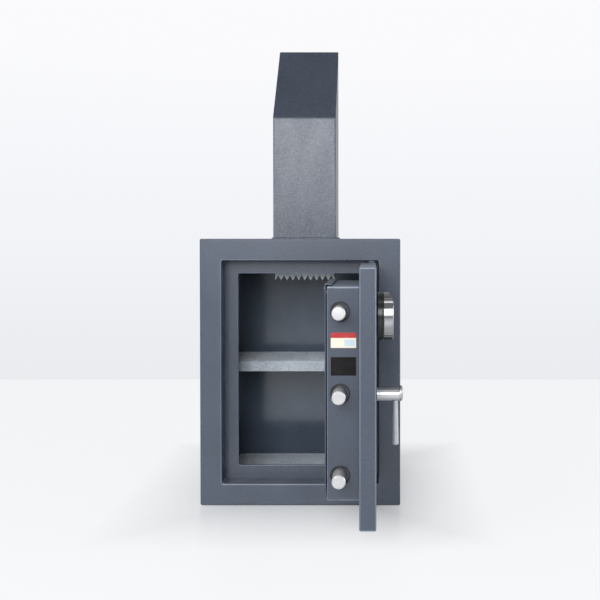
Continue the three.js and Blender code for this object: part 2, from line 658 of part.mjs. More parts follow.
/** Shelf covering: over the tray's top and down its front lip. */
function shelfCarpet() {
  const [y0, y1] = [behindFront(SHELF_SETBACK), ROOM_BACK_Y - SEAM];
  const bottom = SHELF_HEIGHT - CARPET - SEAM - SHELF_LIP;
  const profile = new THREE.Shape();
  profile.moveTo(y0, bottom);
  profile.lineTo(y0 + CARPET, bottom);
  profile.lineTo(y0 + CARPET, SHELF_HEIGHT - CARPET);
  profile.lineTo(y1, SHELF_HEIGHT - CARPET);
  profile.lineTo(y1, SHELF_HEIGHT);
  profile.lineTo(y0 + CARPET, SHELF_HEIGHT);
  profile.absarc(y0 + CARPET, SHELF_HEIGHT - CARPET, CARPET, Math.PI / 2, Math.PI);
  return alongX(profile, mirrored(ROOM_X - SHELF_SIDE_GAP));
}

/** Shelf bracket: an angle on a side wall; side is -1 for left, 1 for right. */
function shelfBracket(side) {
  const top = SHELF_HEIGHT - CARPET - 2 * SEAM - SHELF_LIP;
  const wall = side * (ROOM_X - SEAM);
  const inward = (distance) => wall - side * distance;
  const range = (a, b) => [Math.min(a, b), Math.max(a, b)];
  const yRange = [behindFront(SHELF_SETBACK + BRACKET_LEG), ROOM_BACK_Y - BRACKET_LEG];
  return join(
    block(range(wall, inward(BRACKET_LEG)), yRange, [top - BRACKET_SHEET, top]),
    block(range(wall, inward(BRACKET_SHEET)), yRange, [top - BRACKET_LEG, top]),
  );
}

/** Floor covering. */
function floorCarpet() {
  const yRange = [ROOM_FRONT_Y + SEAM, ROOM_BACK_Y - SEAM];
  const outline = roundedRect(mirrored(ROOM_X - LINER_BEND), yRange, CARPET_CORNER);
  return alongZ(outline, [ROOM_Z[0] + SEAM, ROOM_Z[0] + SEAM + CARPET], CARPET_EDGE);
}

/** Hinge pin; up is 1 for the upper pin and -1 for the lower, whose collar carries the door. */
function hingePin(up) {
  const edge = up > 0 ? OPENING_Z[1] : OPENING_Z[0];
  const gap = up > 0 ? DOOR_TOP_GAP : DOOR_FOOT_GAP;
  const reach = gap + PIN_IN_DOOR;
  const profile = [
    [0, -reach],
    [PIN_RADIUS - PIN_CHAMFER, -reach],
    [PIN_RADIUS, -reach + PIN_CHAMFER],
    [PIN_RADIUS, -gap + SEAM],
    [PIN_COLLAR, -gap + SEAM],
    [PIN_COLLAR, -SEAM],
    [PIN_RADIUS, -SEAM],
    [PIN_RADIUS, PIN_IN_FRAME],
    [0, PIN_IN_FRAME],
  ];
  const pin = turned("z", profile, [0, 0, 0]);
  if (up < 0) pin.rotateX(Math.PI);
  return pin.translate(PIVOT_X, behindFront(PIVOT_DEPTH), edge);
}

/** Hinge bush in the door's end; up is 1 at the top and -1 at the bottom. */
function hingeBush(up) {
  const edge = up > 0 ? DOOR_Z[1] : DOOR_Z[0];
  const length = PIN_IN_DOOR + BUSH_SPARE;
  const start = up > 0 ? edge - length : edge;
  return cut(
    rod("z", BUSH_RADIUS, [0, 0, start], length),
    rod("z", PIN_RADIUS + RUNNING, [0, 0, start - THROUGH], length + 2 * THROUGH),
  );
}

/** Door slab, with its bush pockets and the holes for spindle and keypad lead. */
function doorSlab() {
  const pocket = PIN_IN_DOOR + BUSH_SPARE + SEAM;
  const across = (radius, x, z) =>
    rod("y", radius, [x, DOOR_Y[0] - THROUGH, z], DOOR_THICKNESS + 2 * THROUGH);
  return cut(
    alongY(roundedRect(DOOR_X, DOOR_Z, DOOR_CORNER), DOOR_Y, DOOR_EDGE),
    rod("z", BUSH_RADIUS + RUNNING, [0, 0, DOOR_Z[1] - pocket], pocket + THROUGH),
    rod("z", BUSH_RADIUS + RUNNING, [0, 0, DOOR_Z[0] - THROUGH], pocket + THROUGH),
    across(SPINDLE_RADIUS + RUNNING, HANDLE_X, HANDLE_Z),
    across(LEAD_HOLE_RADIUS, KEYPAD_X, KEYPAD_Z),
  );
}

/** Bolt box: a folded pan with its open side on the door and a screw lip round its window. */
function boltBox() {
  const inside = (margin) => roundedRect(grown(BOX_X, -margin), grown(BOX_Z, -margin), BOX_INNER_BEND);
  const startY = SEAT_Y - 2 * BOX_EDGE;
  const pan = alongY(roundedRect(BOX_X, BOX_Z, BOX_BEND), [startY, BOX_INNER_Y], BOX_EDGE);
  const hole = (z) =>
    rod(
      "x",
      BOX_HOLE_RADIUS,
      [BOX_X[0] - THROUGH, BOLT_Y - BOX_HOLE_SHIFT, z],
      BOX_SHEET + 2 * THROUGH,
      HOLE_SIDES,
    );
  return cut(
    pan,
    block(grown(BOX_X, THROUGH), [startY - THROUGH, SEAT_Y], grown(BOX_Z, THROUGH)),
    alongY(inside(BOX_SHEET), [startY - THROUGH, BOX_INNER_Y - BOX_SHEET]),
    alongY(inside(BOX_SHEET + BOX_LIP), [SEAT_Y, BOX_INNER_Y + THROUGH]),
    ...BOLT_Z.map(hole),
  );
}

/** Cover over the boltwork: a lid on six spacers, with a flange that wraps the box's top. */
function boltCover() {
  const sheetY = [BOX_INNER_Y + COVER_GAP, BOX_INNER_Y + COVER_GAP + COVER_SHEET];
  const sheetZ = [BOX_Z[0] + COVER_SHORT, BOX_Z[1] + COVER_TOP_GAP + COVER_SHEET];
  const flangeY = [BOX_INNER_Y - COVER_WRAP, sheetY[0] + FUSE];
  const flangeZ = [BOX_Z[1] + COVER_TOP_GAP, sheetZ[1]];
  const [leftX, rightX] = grown(BOX_X, -COVER_SPACER_INSET);
  const spacerZ = grown(BOX_Z, -COVER_SPACER_INSET);
  const spacer = (x, z) =>
    rod("y", COVER_SPACER_RADIUS, [x, BOX_INNER_Y + SEAM, z], COVER_GAP, SMALL_SIDES);
  return join(
    alongY(roundedRect(BOX_X, sheetZ, COVER_BEND), sheetY),
    block(grown(BOX_X, -COVER_BEND), flangeY, flangeZ),
    ...[leftX, (leftX + rightX) / 2, rightX].flatMap((x) => spacerZ.map((z) => spacer(x, z))),
  );
}

/** Guide bar behind the box's near wall, with a running hole for each bolt. */
function boltGuide() {
  const yRange = [SEAT_Y, BOLT_Y + BOLT_RADIUS + BOLT_COVER_GAP / 2];
  const zRange = about(BOX_MIDDLE_Z, 2 * (BOLT_PITCH + GUIDE_BAR_END));
  const hole = (z) =>
    rod("x", BOLT_RADIUS + RUNNING, [GUIDE_X[0] - THROUGH, BOLT_Y, z], GUIDE_BAR + 2 * THROUGH);
  return cut(block(GUIDE_X, yRange, zRange), ...BOLT_Z.map(hole));
}

/** One bolt: a round bar with an eased end, and a tail with its nut behind the carriage bar. */
function bolt(z) {
  const nutAt = CARRIAGE_X[1] + SEAM;
  const tailEnd = nutAt + NUT_LENGTH + TAIL_END - BOLT_TIP_X;
  const body = turned(
    "x",
    [
      [0, 0],
      [BOLT_RADIUS - BOLT_EDGE, 0],
      [BOLT_RADIUS - BOLT_EDGE * EASE, BOLT_EDGE * EASE],
      [BOLT_RADIUS, BOLT_EDGE],
      [BOLT_RADIUS, BOLT_LENGTH],
      [TAIL_RADIUS, BOLT_LENGTH],
      [TAIL_RADIUS, tailEnd],
      [0, tailEnd],
    ],
    [BOLT_TIP_X, BOLT_Y, z],
  );
  const nutRadius = NUT_ACROSS / Math.sqrt(3);
  return join(body, rod("x", nutRadius, [nutAt, BOLT_Y, z], NUT_LENGTH, 6));
}

/** Carriage: an angle of plate and bar that draws the three bolts, with its slots and lock arm. */
function boltCarriage() {
  const zRange = about(BOX_MIDDLE_Z, 2 * (BOLT_PITCH + CARRIAGE_END));
  const plateX = [CARRIAGE_X[0] - CARRIAGE_REACH, CARRIAGE_X[1]];
  const barY = [PLATE_Y[0], BOLT_Y + BOLT_RADIUS];
  const armZ = [LOCK_TOP_Z + LOCK_ARM_GAP, LOCK_TOP_Z + LOCK_ARM_GAP + LOCK_ARM_HEIGHT];
  const pinSpace = CAM_PIN_RADIUS + CAM_SLOT_PLAY;
  const pinX = about(HANDLE_X - BOLT_THROW / 2, 2 * pinSpace);
  const pinZ = [HANDLE_Z + CAM_PIN_Z - pinSpace, HANDLE_Z + CAM_REACH + pinSpace];
  const studSpace = STUD_RADIUS + RUNNING;
  const studX = [STUD_X - BOLT_THROW - studSpace, STUD_X + studSpace];
  const slot = (xRange, slotZ, corner) => alongY(roundedRect(xRange, slotZ, corner), grown(PLATE_Y, THROUGH));
  const tailHole = (z) =>
    rod("x", TAIL_RADIUS + SEAM, [CARRIAGE_X[0] - THROUGH, BOLT_Y, z], CARRIAGE_BAR + 2 * THROUGH);
  return cut(
    join(
      block(plateX, PLATE_Y, zRange),
      block(CARRIAGE_X, barY, zRange),
      block([CARRIAGE_X[1] - FUSE, LOCK_ARM_X], PLATE_Y, armZ),
    ),
    ...BOLT_Z.map(tailHole),
    slot(pinX, pinZ, CAM_SLOT_CORNER),
    ...studHeights().map((z) => slot(studX, about(z, 2 * studSpace), SLOT_CORNER)),
  );
}

/** Heights of the two studs that guide the carriage. */
const studHeights = () => about(BOX_MIDDLE_Z, STUD_SPACING);

/** Guide stud: a shank through the carriage's slot, with a head over it. */
function guideStud(z) {
  const top = PLATE_Y[1] + SEAM;
  const profile = [
    [0, SEAT_Y],
    [STUD_HEAD, SEAT_Y],
    [STUD_HEAD, PLATE_Y[0] - SEAM],
    [STUD_RADIUS, PLATE_Y[0] - SEAM],
    [STUD_RADIUS, top],
    [STUD_HEAD, top],
    [STUD_HEAD, top + STUD_HEAD_LENGTH - STUD_CHAMFER],
    [STUD_HEAD - STUD_CHAMFER, top + STUD_HEAD_LENGTH],
    [0, top + STUD_HEAD_LENGTH],
  ];
  return turned("y", profile, [STUD_X, 0, z], SMALL_SIDES);
}

/** Dead bar: the angle at the hinge side that hooks behind the jamb when the door is closed. */
function deadBar() {
  const lipY = [JAMB_BACK_Y + 2 * DEAD_BAR_GAP, JAMB_BACK_Y + 2 * DEAD_BAR_GAP + DEAD_BAR];
  const profile = polygon([
    [DEAD_WEB_X[0], SEAT_Y],
    [DEAD_WEB_X[1], SEAT_Y],
    [DEAD_WEB_X[1], lipY[0]],
    [JAMB_HINGE_X + DEAD_BAR_CATCH, lipY[0]],
    [JAMB_HINGE_X + DEAD_BAR_CATCH, lipY[1]],
    [DEAD_WEB_X[0], lipY[1]],
  ]);
  return alongZ(profile, about(DOOR_MIDDLE_Z, DEAD_BAR_HEIGHT));
}

/** Lock case with the channel that its bolt runs in. */
function lockCase() {
  const yRange = [SEAT_Y, SEAT_Y + LOCK_DEPTH];
  const outline = roundedRect(LOCK_X, [LOCK_TOP_Z - LOCK_HEIGHT, LOCK_TOP_Z], LOCK_CORNER);
  const channelZ = [LOCK_TOP_Z - LOCK_BOLT_LENGTH - SEAM, LOCK_TOP_Z + THROUGH];
  return cut(
    alongY(outline, yRange, LOCK_EDGE),
    block(grown(LOCK_BOLT_X, RUNNING), grown(LOCK_BOLT_Y, RUNNING), channelZ),
  );
}

/** Lock bolt, drawn in, its end eased. */
function lockBolt() {
  const outline = roundedRect(LOCK_BOLT_X, [LOCK_TOP_Z - LOCK_BOLT_LENGTH, LOCK_TOP_Z], LOCK_BOLT_CORNER);
  return alongY(outline, LOCK_BOLT_Y, LOCK_BOLT_EDGE);
}

/** Spindle from the handle's hub, through the slab, to the cam. */
function handleSpindle() {
  const [y0, y1] = [DOOR_Y[0] - SEAM - SPINDLE_IN_HUB, CAM_Y[1]];
  return turned(
    "y",
    [
      [0, y0],
      [SPINDLE_RADIUS, y0],
      [SPINDLE_RADIUS, y1 - SPINDLE_CHAMFER],
      [SPINDLE_RADIUS - SPINDLE_CHAMFER, y1],
      [0, y1],
    ],
    [0, 0, 0],
  );
}

/** Drive cam: a boss on the spindle and an arm with the pin that runs in the carriage's slot. */
function driveCam() {
  const start = THREE.MathUtils.degToRad(90 + HANDLE_TURN / 2);
  const [px, pz] = [CAM_REACH * Math.cos(start), CAM_REACH * Math.sin(start)];
  const arm = new THREE.Shape();
  arm.absarc(0, 0, CAM_HUB_RADIUS, start + Math.PI / 2, start + 1.5 * Math.PI);
  arm.absarc(px, pz, CAM_ARM_RADIUS, start - Math.PI / 2, start + Math.PI / 2);
  const pinLength = PLATE_Y[1] - CAM_Y[1] + FUSE - SEAM;
  return cut(
    join(
      rod("y", CAM_HUB_RADIUS, [0, CAM_Y[0], 0], CAM_THICKNESS),
      alongY(arm, CAM_Y),
      rod("y", CAM_PIN_RADIUS, [px, CAM_Y[1] - FUSE, pz], pinLength, SMALL_SIDES),
    ),
    rod("y", SPINDLE_RADIUS + SEAM, [0, CAM_Y[0] - THROUGH, 0], CAM_THICKNESS + 2 * THROUGH),
  );
}

/** Handle hub: a chromed barrel with a raised cap, bored for the spindle and the lever. */
function handleHub() {
  const base = DOOR_Y[0] - SEAM;
  const end = base - HUB_LENGTH;
  const capEnd = end - HUB_CAP_LENGTH;
  const barrel = turned(
    "y",
    [
      [0, end - FUSE],
      [HUB_RADIUS, end - FUSE],
      [HUB_RADIUS, base - HUB_CHAMFER],
      [HUB_RADIUS - HUB_CHAMFER, base],
      [0, base],
    ],
    [0, 0, 0],
  );
  const cap = turned(
    "y",
    HUB_CAP_OUTLINE.map(([x, y]) => [HUB_CAP_RADIUS * x, capEnd + HUB_CAP_LENGTH * y]),
    [0, 0, HUB_CAP_RISE],
  );
  const leverBore = LEVER_IN_HUB + SEAM + THROUGH;
  return cut(
    join(barrel, cap),
    rod("y", SPINDLE_RADIUS + SEAM, [0, base - SPINDLE_IN_HUB - SEAM, 0], SPINDLE_IN_HUB + SEAM + THROUGH),
    rod(
      "z",
      LEVER_ROOT_RADIUS + SEAM,
      [0, DOOR_Y[0] - LEVER_OUT, -HUB_RADIUS - THROUGH],
      leverBore,
      SMALL_SIDES,
    ),
  );
}

/** Lever: hangs from the hub and swells to a rounded end. */
function handleLever() {
  const root = LEVER_IN_HUB - HUB_RADIUS;
  const tip = -LEVER_LENGTH;
  const profile = [
    ...LEVER_TIP_OUTLINE.map(([x, z]) => [LEVER_TIP_RADIUS * x, tip + LEVER_TIP_RADIUS * z]),
    [LEVER_ROOT_RADIUS, -HUB_RADIUS],
    [LEVER_ROOT_RADIUS, root],
    [0, root],
  ];
  return turned("z", profile, [0, DOOR_Y[0] - LEVER_OUT, 0]);
}

/** The window in the keypad's front wall, or the panel's outline, grown by a margin. */
const panelOutline = (margin) =>
  roundedRect(
    about(KEYPAD_X, PANEL_WIDTH + 2 * margin),
    about(PANEL_Z, PANEL_HEIGHT + 2 * margin),
    PANEL_CORNER + margin,
  );

/** Keypad base: the black ring that the chrome shell turns on. */
function keypadBase() {
  const [y0, y1] = KEYPAD_BASE_Y;
  return turned(
    "y",
    [
      [0, y0],
      [KEYPAD_RADIUS - KEYPAD_EDGE, y0],
      [KEYPAD_RADIUS, y0 + KEYPAD_EDGE],
      [KEYPAD_RADIUS, y1 - KEYPAD_FOOT],
      [KEYPAD_RADIUS - KEYPAD_EDGE, y1],
      [0, y1],
    ],
    [KEYPAD_X, 0, KEYPAD_Z],
    KEYPAD_SIDES,
  );
}

/** Keypad shell: a round cup with a slanted facet at its top and a window for the panel. */
function keypadShell() {
  const [y0, y1] = KEYPAD_SHELL_Y;
  const cup = turned(
    "y",
    [
      [0, y0],
      [KEYPAD_RADIUS - KEYPAD_EDGE, y0],
      [KEYPAD_RADIUS - KEYPAD_EDGE * EASE, y0 + KEYPAD_EDGE * EASE],
      [KEYPAD_RADIUS, y0 + KEYPAD_EDGE],
      [KEYPAD_RADIUS, y1],
      [0, y1],
    ],
    [KEYPAD_X, 0, KEYPAD_Z],
    KEYPAD_SIDES,
  );
  const slope = KEYPAD_FACET_FALL / KEYPAD_FACET_RUN;
  const facetStart = KEYPAD_Z + KEYPAD_RADIUS - KEYPAD_FACET_RUN;
  const [lowZ, highZ] = [facetStart - THROUGH / slope, facetStart + 2 * KEYPAD_FACET_RUN];
  const facet = (inset) =>
    alongX(
      polygon([
        [y0 - THROUGH + inset, lowZ],
        [y0 + slope * (highZ - facetStart) + inset, highZ],
        [y0 - KEYPAD_SHELL, highZ],
        [y0 - KEYPAD_SHELL, lowZ],
      ]),
      about(KEYPAD_X, 3 * KEYPAD_RADIUS),
    );
  const hollow = cut(
    rod("y", KEYPAD_RADIUS - KEYPAD_WALL, [KEYPAD_X, y0 + KEYPAD_WALL, KEYPAD_Z], KEYPAD_SHELL, KEYPAD_SIDES),
    facet(KEYPAD_WALL * Math.hypot(1, slope)),
  );
  return cut(cup, facet(0), hollow, alongY(panelOutline(SEAM), [y0 - THROUGH, y0 + KEYPAD_WALL + THROUGH]));
}

/** Middles of the keys, row by row from the top left. */
function keyMiddles() {
  const middles = [];
  for (let row = 0; row < KEY_ROWS; row += 1) {
    for (let column = 0; column < KEY_COLUMNS; column += 1) {
      middles.push([
        KEYPAD_X + (column - (KEY_COLUMNS - 1) / 2) * KEY_PITCH_X,
        PANEL_Z - (row - (KEY_ROWS - 1) / 2) * KEY_PITCH_Z,
      ]);
    }
  }
  return middles;
}

/** A key's outline, grown by a margin. */
const keyOutline = ([x, z], margin) =>
  roundedRect(about(x, KEY_WIDTH + 2 * margin), about(z, KEY_HEIGHT + 2 * margin), KEY_CORNER);

/** Keypad panel: fills the window from behind, with a well for each key. */
function keypadPanel() {
  const front = alongY(panelOutline(0), PANEL_Y);
  const flangeY = [KEYPAD_SHELL_Y[0] + KEYPAD_WALL + SEAM, PANEL_Y[1]];
  const wells = keyMiddles().map((middle) => alongY(keyOutline(middle, KEY_GAP), grown(PANEL_Y, THROUGH)));
  return cut(join(front, alongY(panelOutline(PANEL_FLANGE), flangeY)), ...wells);
}

/** One key: an eased cap over a flange that keeps it behind the panel. */
function key(middle) {
  const flangeY = [PANEL_Y[1] + SEAM, PANEL_Y[1] + SEAM + KEY_FLANGE_SHEET];
  const capY = [PANEL_Y[0] - KEY_PROUD, flangeY[1]];
  const flange = 2 * (KEY_FLANGE + KEY_GAP);
  return join(
    alongY(keyOutline(middle, 0), capY, KEY_EDGE),
    block(about(middle[0], KEY_WIDTH + flange), flangeY, about(middle[1], KEY_HEIGHT + flange)),
  );
}

/** The cabinet: everything that stays still. */
function cabinet() {
  const group = new THREE.Group();
  put(group, "outer_case", outerCase(), paint);
  put(group, "back_plate", backPlate(), paint);
  put(group, "door_frame", doorFrame(), paint);
  put(group, "jamb_plate", jambPlate(), paint);
  put(group, "inner_liner", innerLiner(), innerPaint);
  put(group, "wall_fill", wallFill(), fill);
  put(group, "neck_shell", neckShell(), paint);
  put(group, "neck_back", neckBack(), paint);
  put(group, "hood_plate", hoodPlate(), paint);
  put(group, "neck_weld", neckWeld(), paint);
  put(group, "chute_baffle", chuteBaffle(), barePlate);
  put(group, "saw_comb", sawComb(), barePlate);
  put(group, "shelf_pan", shelfPan(), barePlate);
  put(group, "shelf_carpet", shelfCarpet(), carpet);
  put(group, "shelf_bracket_left", shelfBracket(-1), innerPaint);
  put(group, "shelf_bracket_right", shelfBracket(1), innerPaint);
  put(group, "floor_carpet", floorCarpet(), carpet);
  put(group, "hinge_pin_upper", hingePin(1), machined);
  put(group, "hinge_pin_lower", hingePin(-1), machined);
  return group;
}

/** The handle, about its own axis. */
function handle() {
  const group = new THREE.Group();
  group.position.set(HANDLE_X, 0, HANDLE_Z);
  put(group, "handle_hub", handleHub(), chrome);
  put(group, "handle_lever", handleLever(), chrome);
  put(group, "handle_spindle", handleSpindle(), machined);
  put(group, "drive_cam", driveCam(), barePlate);
  return group;
}

/** The bolts and the carriage that draws them. */
function boltwork() {
  const group = new THREE.Group();
  put(group, "bolt_carriage", boltCarriage(), barePlate);
  const names = ["bolt_upper", "bolt_middle", "bolt_lower"];
  names.forEach((name, index) => put(group, name, bolt(BOLT_Z[index]), machined));
  return group;
}

/** The keypad and its keys. */
function keypad() {
  const group = new THREE.Group();
  put(group, "keypad_base", keypadBase(), blackPlastic);
  put(group, "keypad_shell", keypadShell(), chrome);
  put(group, "keypad_panel", keypadPanel(), blackPlastic);
  const names = ["1", "2", "3", "4", "5", "6", "7", "8", "9", "left", "0", "right"];
  keyMiddles().forEach((middle, index) => put(group, `key_${names[index]}`, key(middle), keyPlastic));
  return group;
}

/** The door with all that it carries, turned open about its pivot. */
function door() {
  const group = new THREE.Group();
  group.position.set(PIVOT_X, behindFront(PIVOT_DEPTH), 0);
  group.rotation.z = THREE.MathUtils.degToRad(DOOR_OPEN);
  put(group, "door_slab", doorSlab(), paint);
  put(group, "hinge_bush_upper", hingeBush(1), bronze);
  put(group, "hinge_bush_lower", hingeBush(-1), bronze);
  put(group, "bolt_box", boltBox(), paint);
  put(group, "bolt_box_cover", boltCover(), paint);
  put(group, "bolt_guide", boltGuide(), barePlate);
  put(group, "dead_bar", deadBar(), barePlate);
  put(group, "guide_stud_lower", guideStud(studHeights()[0]), machined);
  put(group, "guide_stud_upper", guideStud(studHeights()[1]), machined);
  put(group, "lock_case", lockCase(), barePlate);
  put(group, "lock_bolt", lockBolt(), bronze);
  group.add(handle(), boltwork(), keypad());
  return group;
}

const safe = new THREE.Group();
safe.add(cabinet(), door());

export default safe;
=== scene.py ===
"""Looks of the gooseneck deposit safe: finishes, coverings, fastenings, light and camera."""

import json
import logging
import math
from collections.abc import Callable, Sequence
from dataclasses import dataclass
from enum import Enum
from typing import Any

import bmesh
import bpy
from mathutils import Matrix, Vector, noise


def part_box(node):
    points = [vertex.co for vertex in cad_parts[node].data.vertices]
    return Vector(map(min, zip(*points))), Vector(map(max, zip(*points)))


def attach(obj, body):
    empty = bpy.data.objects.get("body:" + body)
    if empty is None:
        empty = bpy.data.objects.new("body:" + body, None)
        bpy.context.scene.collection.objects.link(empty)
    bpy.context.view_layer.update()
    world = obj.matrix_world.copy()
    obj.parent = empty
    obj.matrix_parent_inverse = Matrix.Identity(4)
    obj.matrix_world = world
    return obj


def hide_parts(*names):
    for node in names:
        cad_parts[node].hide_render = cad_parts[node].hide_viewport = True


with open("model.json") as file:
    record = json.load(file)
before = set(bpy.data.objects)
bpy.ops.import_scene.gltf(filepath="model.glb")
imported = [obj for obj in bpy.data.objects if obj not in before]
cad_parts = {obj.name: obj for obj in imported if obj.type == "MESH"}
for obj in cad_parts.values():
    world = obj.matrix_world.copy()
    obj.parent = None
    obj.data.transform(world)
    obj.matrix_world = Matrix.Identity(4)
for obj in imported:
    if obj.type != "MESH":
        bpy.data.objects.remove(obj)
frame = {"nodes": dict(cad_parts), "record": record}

LOG = logging.getLogger("safe")
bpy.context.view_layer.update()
BODIES: dict[str, list[str]] = frame["record"]["behaviour"]["bodies"]
BODY_OF = {node: body for body, nodes in BODIES.items() for node in nodes}
SLOT_OF = {row["node"]: row["material_slot"] for row in frame["record"]["subparts"]}

Colour = tuple[float, float, float, float]
Point2 = tuple[float, float]
Point3 = tuple[float, float, float]
Socket = bpy.types.NodeSocket
Piece = bpy.types.Object
Work = bmesh.types.BMesh

THIN_EDGE = 0.0003  # easing of thin pieces' edges in metres
SAME_SPOT = 2e-6  # corners of a CAD mesh nearer than this in metres are one
SAME_FACE = 0.4  # and faces that differ by less than this in degrees
ROUND_ANGLE = 35.0  # edges of turned pieces over this many degrees stay sharp
BOXY_ANGLE = 48.0  # and those of the others
FINE_SIDES = 96  # steps round a turned piece that is seen well


def screen(*channels: int) -> Colour:
    """Turns an 8-bit screen colour into a linear one.

    Args:
        *channels: Red, green and blue, 0 to 255.

    Returns:
        The linear colour with full alpha.
    """
    shares = [channel / 255 for channel in channels]
    linear = [share / 12.92 if share <= 0.04045 else ((share + 0.055) / 1.055) ** 2.4 for share in shares]
    return (*linear, 1.0)


class Graph:
    """A node tree being built: it adds nodes, sets their inputs and links them."""

    def __init__(self, tree: bpy.types.NodeTree) -> None:
        """Keeps the tree.

        Args:
            tree: The tree that nodes are added to.
        """
        self.tree = tree

    def node(
        self, kind: str, inputs: dict[str | int, Any] | None = None, **settings: Any
    ) -> bpy.types.Node:
        """Adds one node.

        Args:
            kind: The node's class name.
            inputs: Values or sockets for its inputs, by name or number.
            **settings: The node's own properties.

        Returns:
            The node.
        """
        made = self.tree.nodes.new(kind)
        for key, value in settings.items():
            setattr(made, key, value)
        for key, value in (inputs or {}).items():
            if isinstance(value, Socket):
                self.tree.links.new(value, made.inputs[key])
            else:
                made.inputs[key].default_value = value
        return made

    def maths(self, operation: str, *values: Any) -> Socket:
        """Adds a Math node.

        Args:
            operation: Its operation.
            *values: Its inputs in order.

        Returns:
            Its result.
        """
        return self.node("ShaderNodeMath", dict(enumerate(values)), operation=operation).outputs[0]

    def between(self, factor: Any, low: Any, high: Any) -> Socket:
        """Mixes two colours.

        Args:
            factor: Share of the second colour.
            low: First colour.
            high: Second colour.

        Returns:
            The mixed colour.
        """
        made = self.node("ShaderNodeMix", {0: factor, 6: low, 7: high}, data_type="RGBA")
        return made.outputs[2]

    def spread(
        self, value: Any, low: float, high: float, start: float = 0.0, end: float = 1.0
    ) -> Socket:
        """Maps a value from one range to another.

        Args:
            value: The value.
            low: Start of its range.
            high: End of its range.
            start: Result at low.
            end: Result at high.

        Returns:
            The mapped value.
        """
        inputs = {"Value": value, "From Min": low, "From Max": high, "To Min": start, "To Max": end}
        return self.node("ShaderNodeMapRange", inputs, clamp=True).outputs["Result"]

    def place(self) -> Socket:
        """Gives the place on the object, in metres."""
        return self.node("ShaderNodeTexCoord").outputs["Object"]

    def grain(self, where: Socket, scale: float, detail: float = 2.0, roughness: float = 0.5) -> Socket:
        """Adds a noise pattern.

        Args:
            where: Coordinates that it reads.
            scale: Features per metre, about.
            detail: Octaves.
            roughness: Strength of the finer octaves.

        Returns:
            The noise, 0 to 1.
        """
        inputs = {"Vector": where, "Scale": scale, "Detail": detail, "Roughness": roughness}
        return self.node("ShaderNodeTexNoise", inputs).outputs["Fac"]

    def stretched(self, where: Any, scale: Sequence[float]) -> Socket:
        """Scales coordinates by axis, so that a pattern runs along one of them."""
        return self.node("ShaderNodeMapping", {"Vector": where, "Scale": scale}).outputs[0]

    def bump(self, height: Any, depth: float, strength: float = 1.0, under: Any = None) -> Socket:
        """Adds a bump.

        Args:
            height: The pattern that sets the height.
            depth: Height in metres.
            strength: Its strength.
            under: A normal that it adds to.

        Returns:
            The bumped normal.
        """
        inputs = {"Height": height, "Distance": depth, "Strength": strength}
        if under is not None:
            inputs["Normal"] = under
        return self.node("ShaderNodeBump", inputs).outputs[0]

    def surface(self, **inputs: Any) -> Socket:
        """Adds the main shader, its inputs named with underscores for spaces."""
        named = {key.replace("_", " "): value for key, value in inputs.items()}
        return self.node("ShaderNodeBsdfPrincipled", named).outputs[0]

    def glow(self, tone: Any) -> Socket:
        """Adds a light of strength 1."""
        return self.node("ShaderNodeEmission", {"Color": tone, "Strength": 1.0}).outputs[0]

    def blend(self, share: Any, first: Socket, second: Socket) -> Socket:
        """Mixes two shaders."""
        return self.node("ShaderNodeMixShader", {0: share, 1: first, 2: second}).outputs[0]

    def seen(self) -> Socket:
        """Tells where the camera looks straight at the surface."""
        return self.node("ShaderNodeLightPath").outputs["Is Camera Ray"]

    def vector(self, **parts: Any) -> Socket:
        """Puts a vector together from its parts."""
        return self.node("ShaderNodeCombineXYZ", parts).outputs[0]

    def parts(self, vector: Socket) -> Sequence[Socket]:
        """Takes a vector apart."""
        return self.node("ShaderNodeSeparateXYZ", {0: vector}).outputs

    def random(self, low: Any, high: Any, seed: Socket) -> Socket:
        """Gives each element a random number between two limits."""
        inputs = {"Min": low, "Max": high, "Seed": seed}
        return self.node("FunctionNodeRandomValue", inputs, data_type="FLOAT").outputs[1]

    def strewn(self, points: Socket, shape: Socket, rotation: Socket, **more: Socket) -> Socket:
        """Sets a shape on every point."""
        inputs = {"Points": points, "Instance": shape, "Rotation": rotation, **more}
        return self.node("GeometryNodeInstanceOnPoints", inputs).outputs[0]

    def joined(self, *parts: Socket) -> Socket:
        """Joins geometries into one.

        Args:
            *parts: The geometries.

        Returns:
            The whole.
        """
        whole = self.node("GeometryNodeJoinGeometry")
        for part in parts:
            self.tree.links.new(part, whole.inputs[0])
        return whole.outputs[0]


def emptied(owner: bpy.types.Material | bpy.types.World) -> Graph:
    """Clears the node tree of a material or world.

    Args:
        owner: The material or world.

    Returns:
        Its empty tree.
    """
    owner.use_nodes = True
    owner.node_tree.nodes.clear()
    return Graph(owner.node_tree)


@dataclass(frozen=True)
class Finish:
    """A surface finish.

    Attributes:
        name: The material's name.
        tone: Its main colour.
        roughness: Its roughness.
    """

    name: str
    tone: Colour
    roughness: float

    def shader(self, graph: Graph) -> Socket:
        """Builds the surface shader, of which each finish has its own."""
        raise NotImplementedError

    def material(self) -> bpy.types.Material:
        """Gives the material, made on first use.

        Returns:
            The node material.
        """
        made = bpy.data.materials.get(self.name)
        if made is None:
            made = bpy.data.materials.new(self.name)
            graph = emptied(made)
            graph.node("ShaderNodeOutputMaterial", {"Surface": self.shader(graph)})
        return made


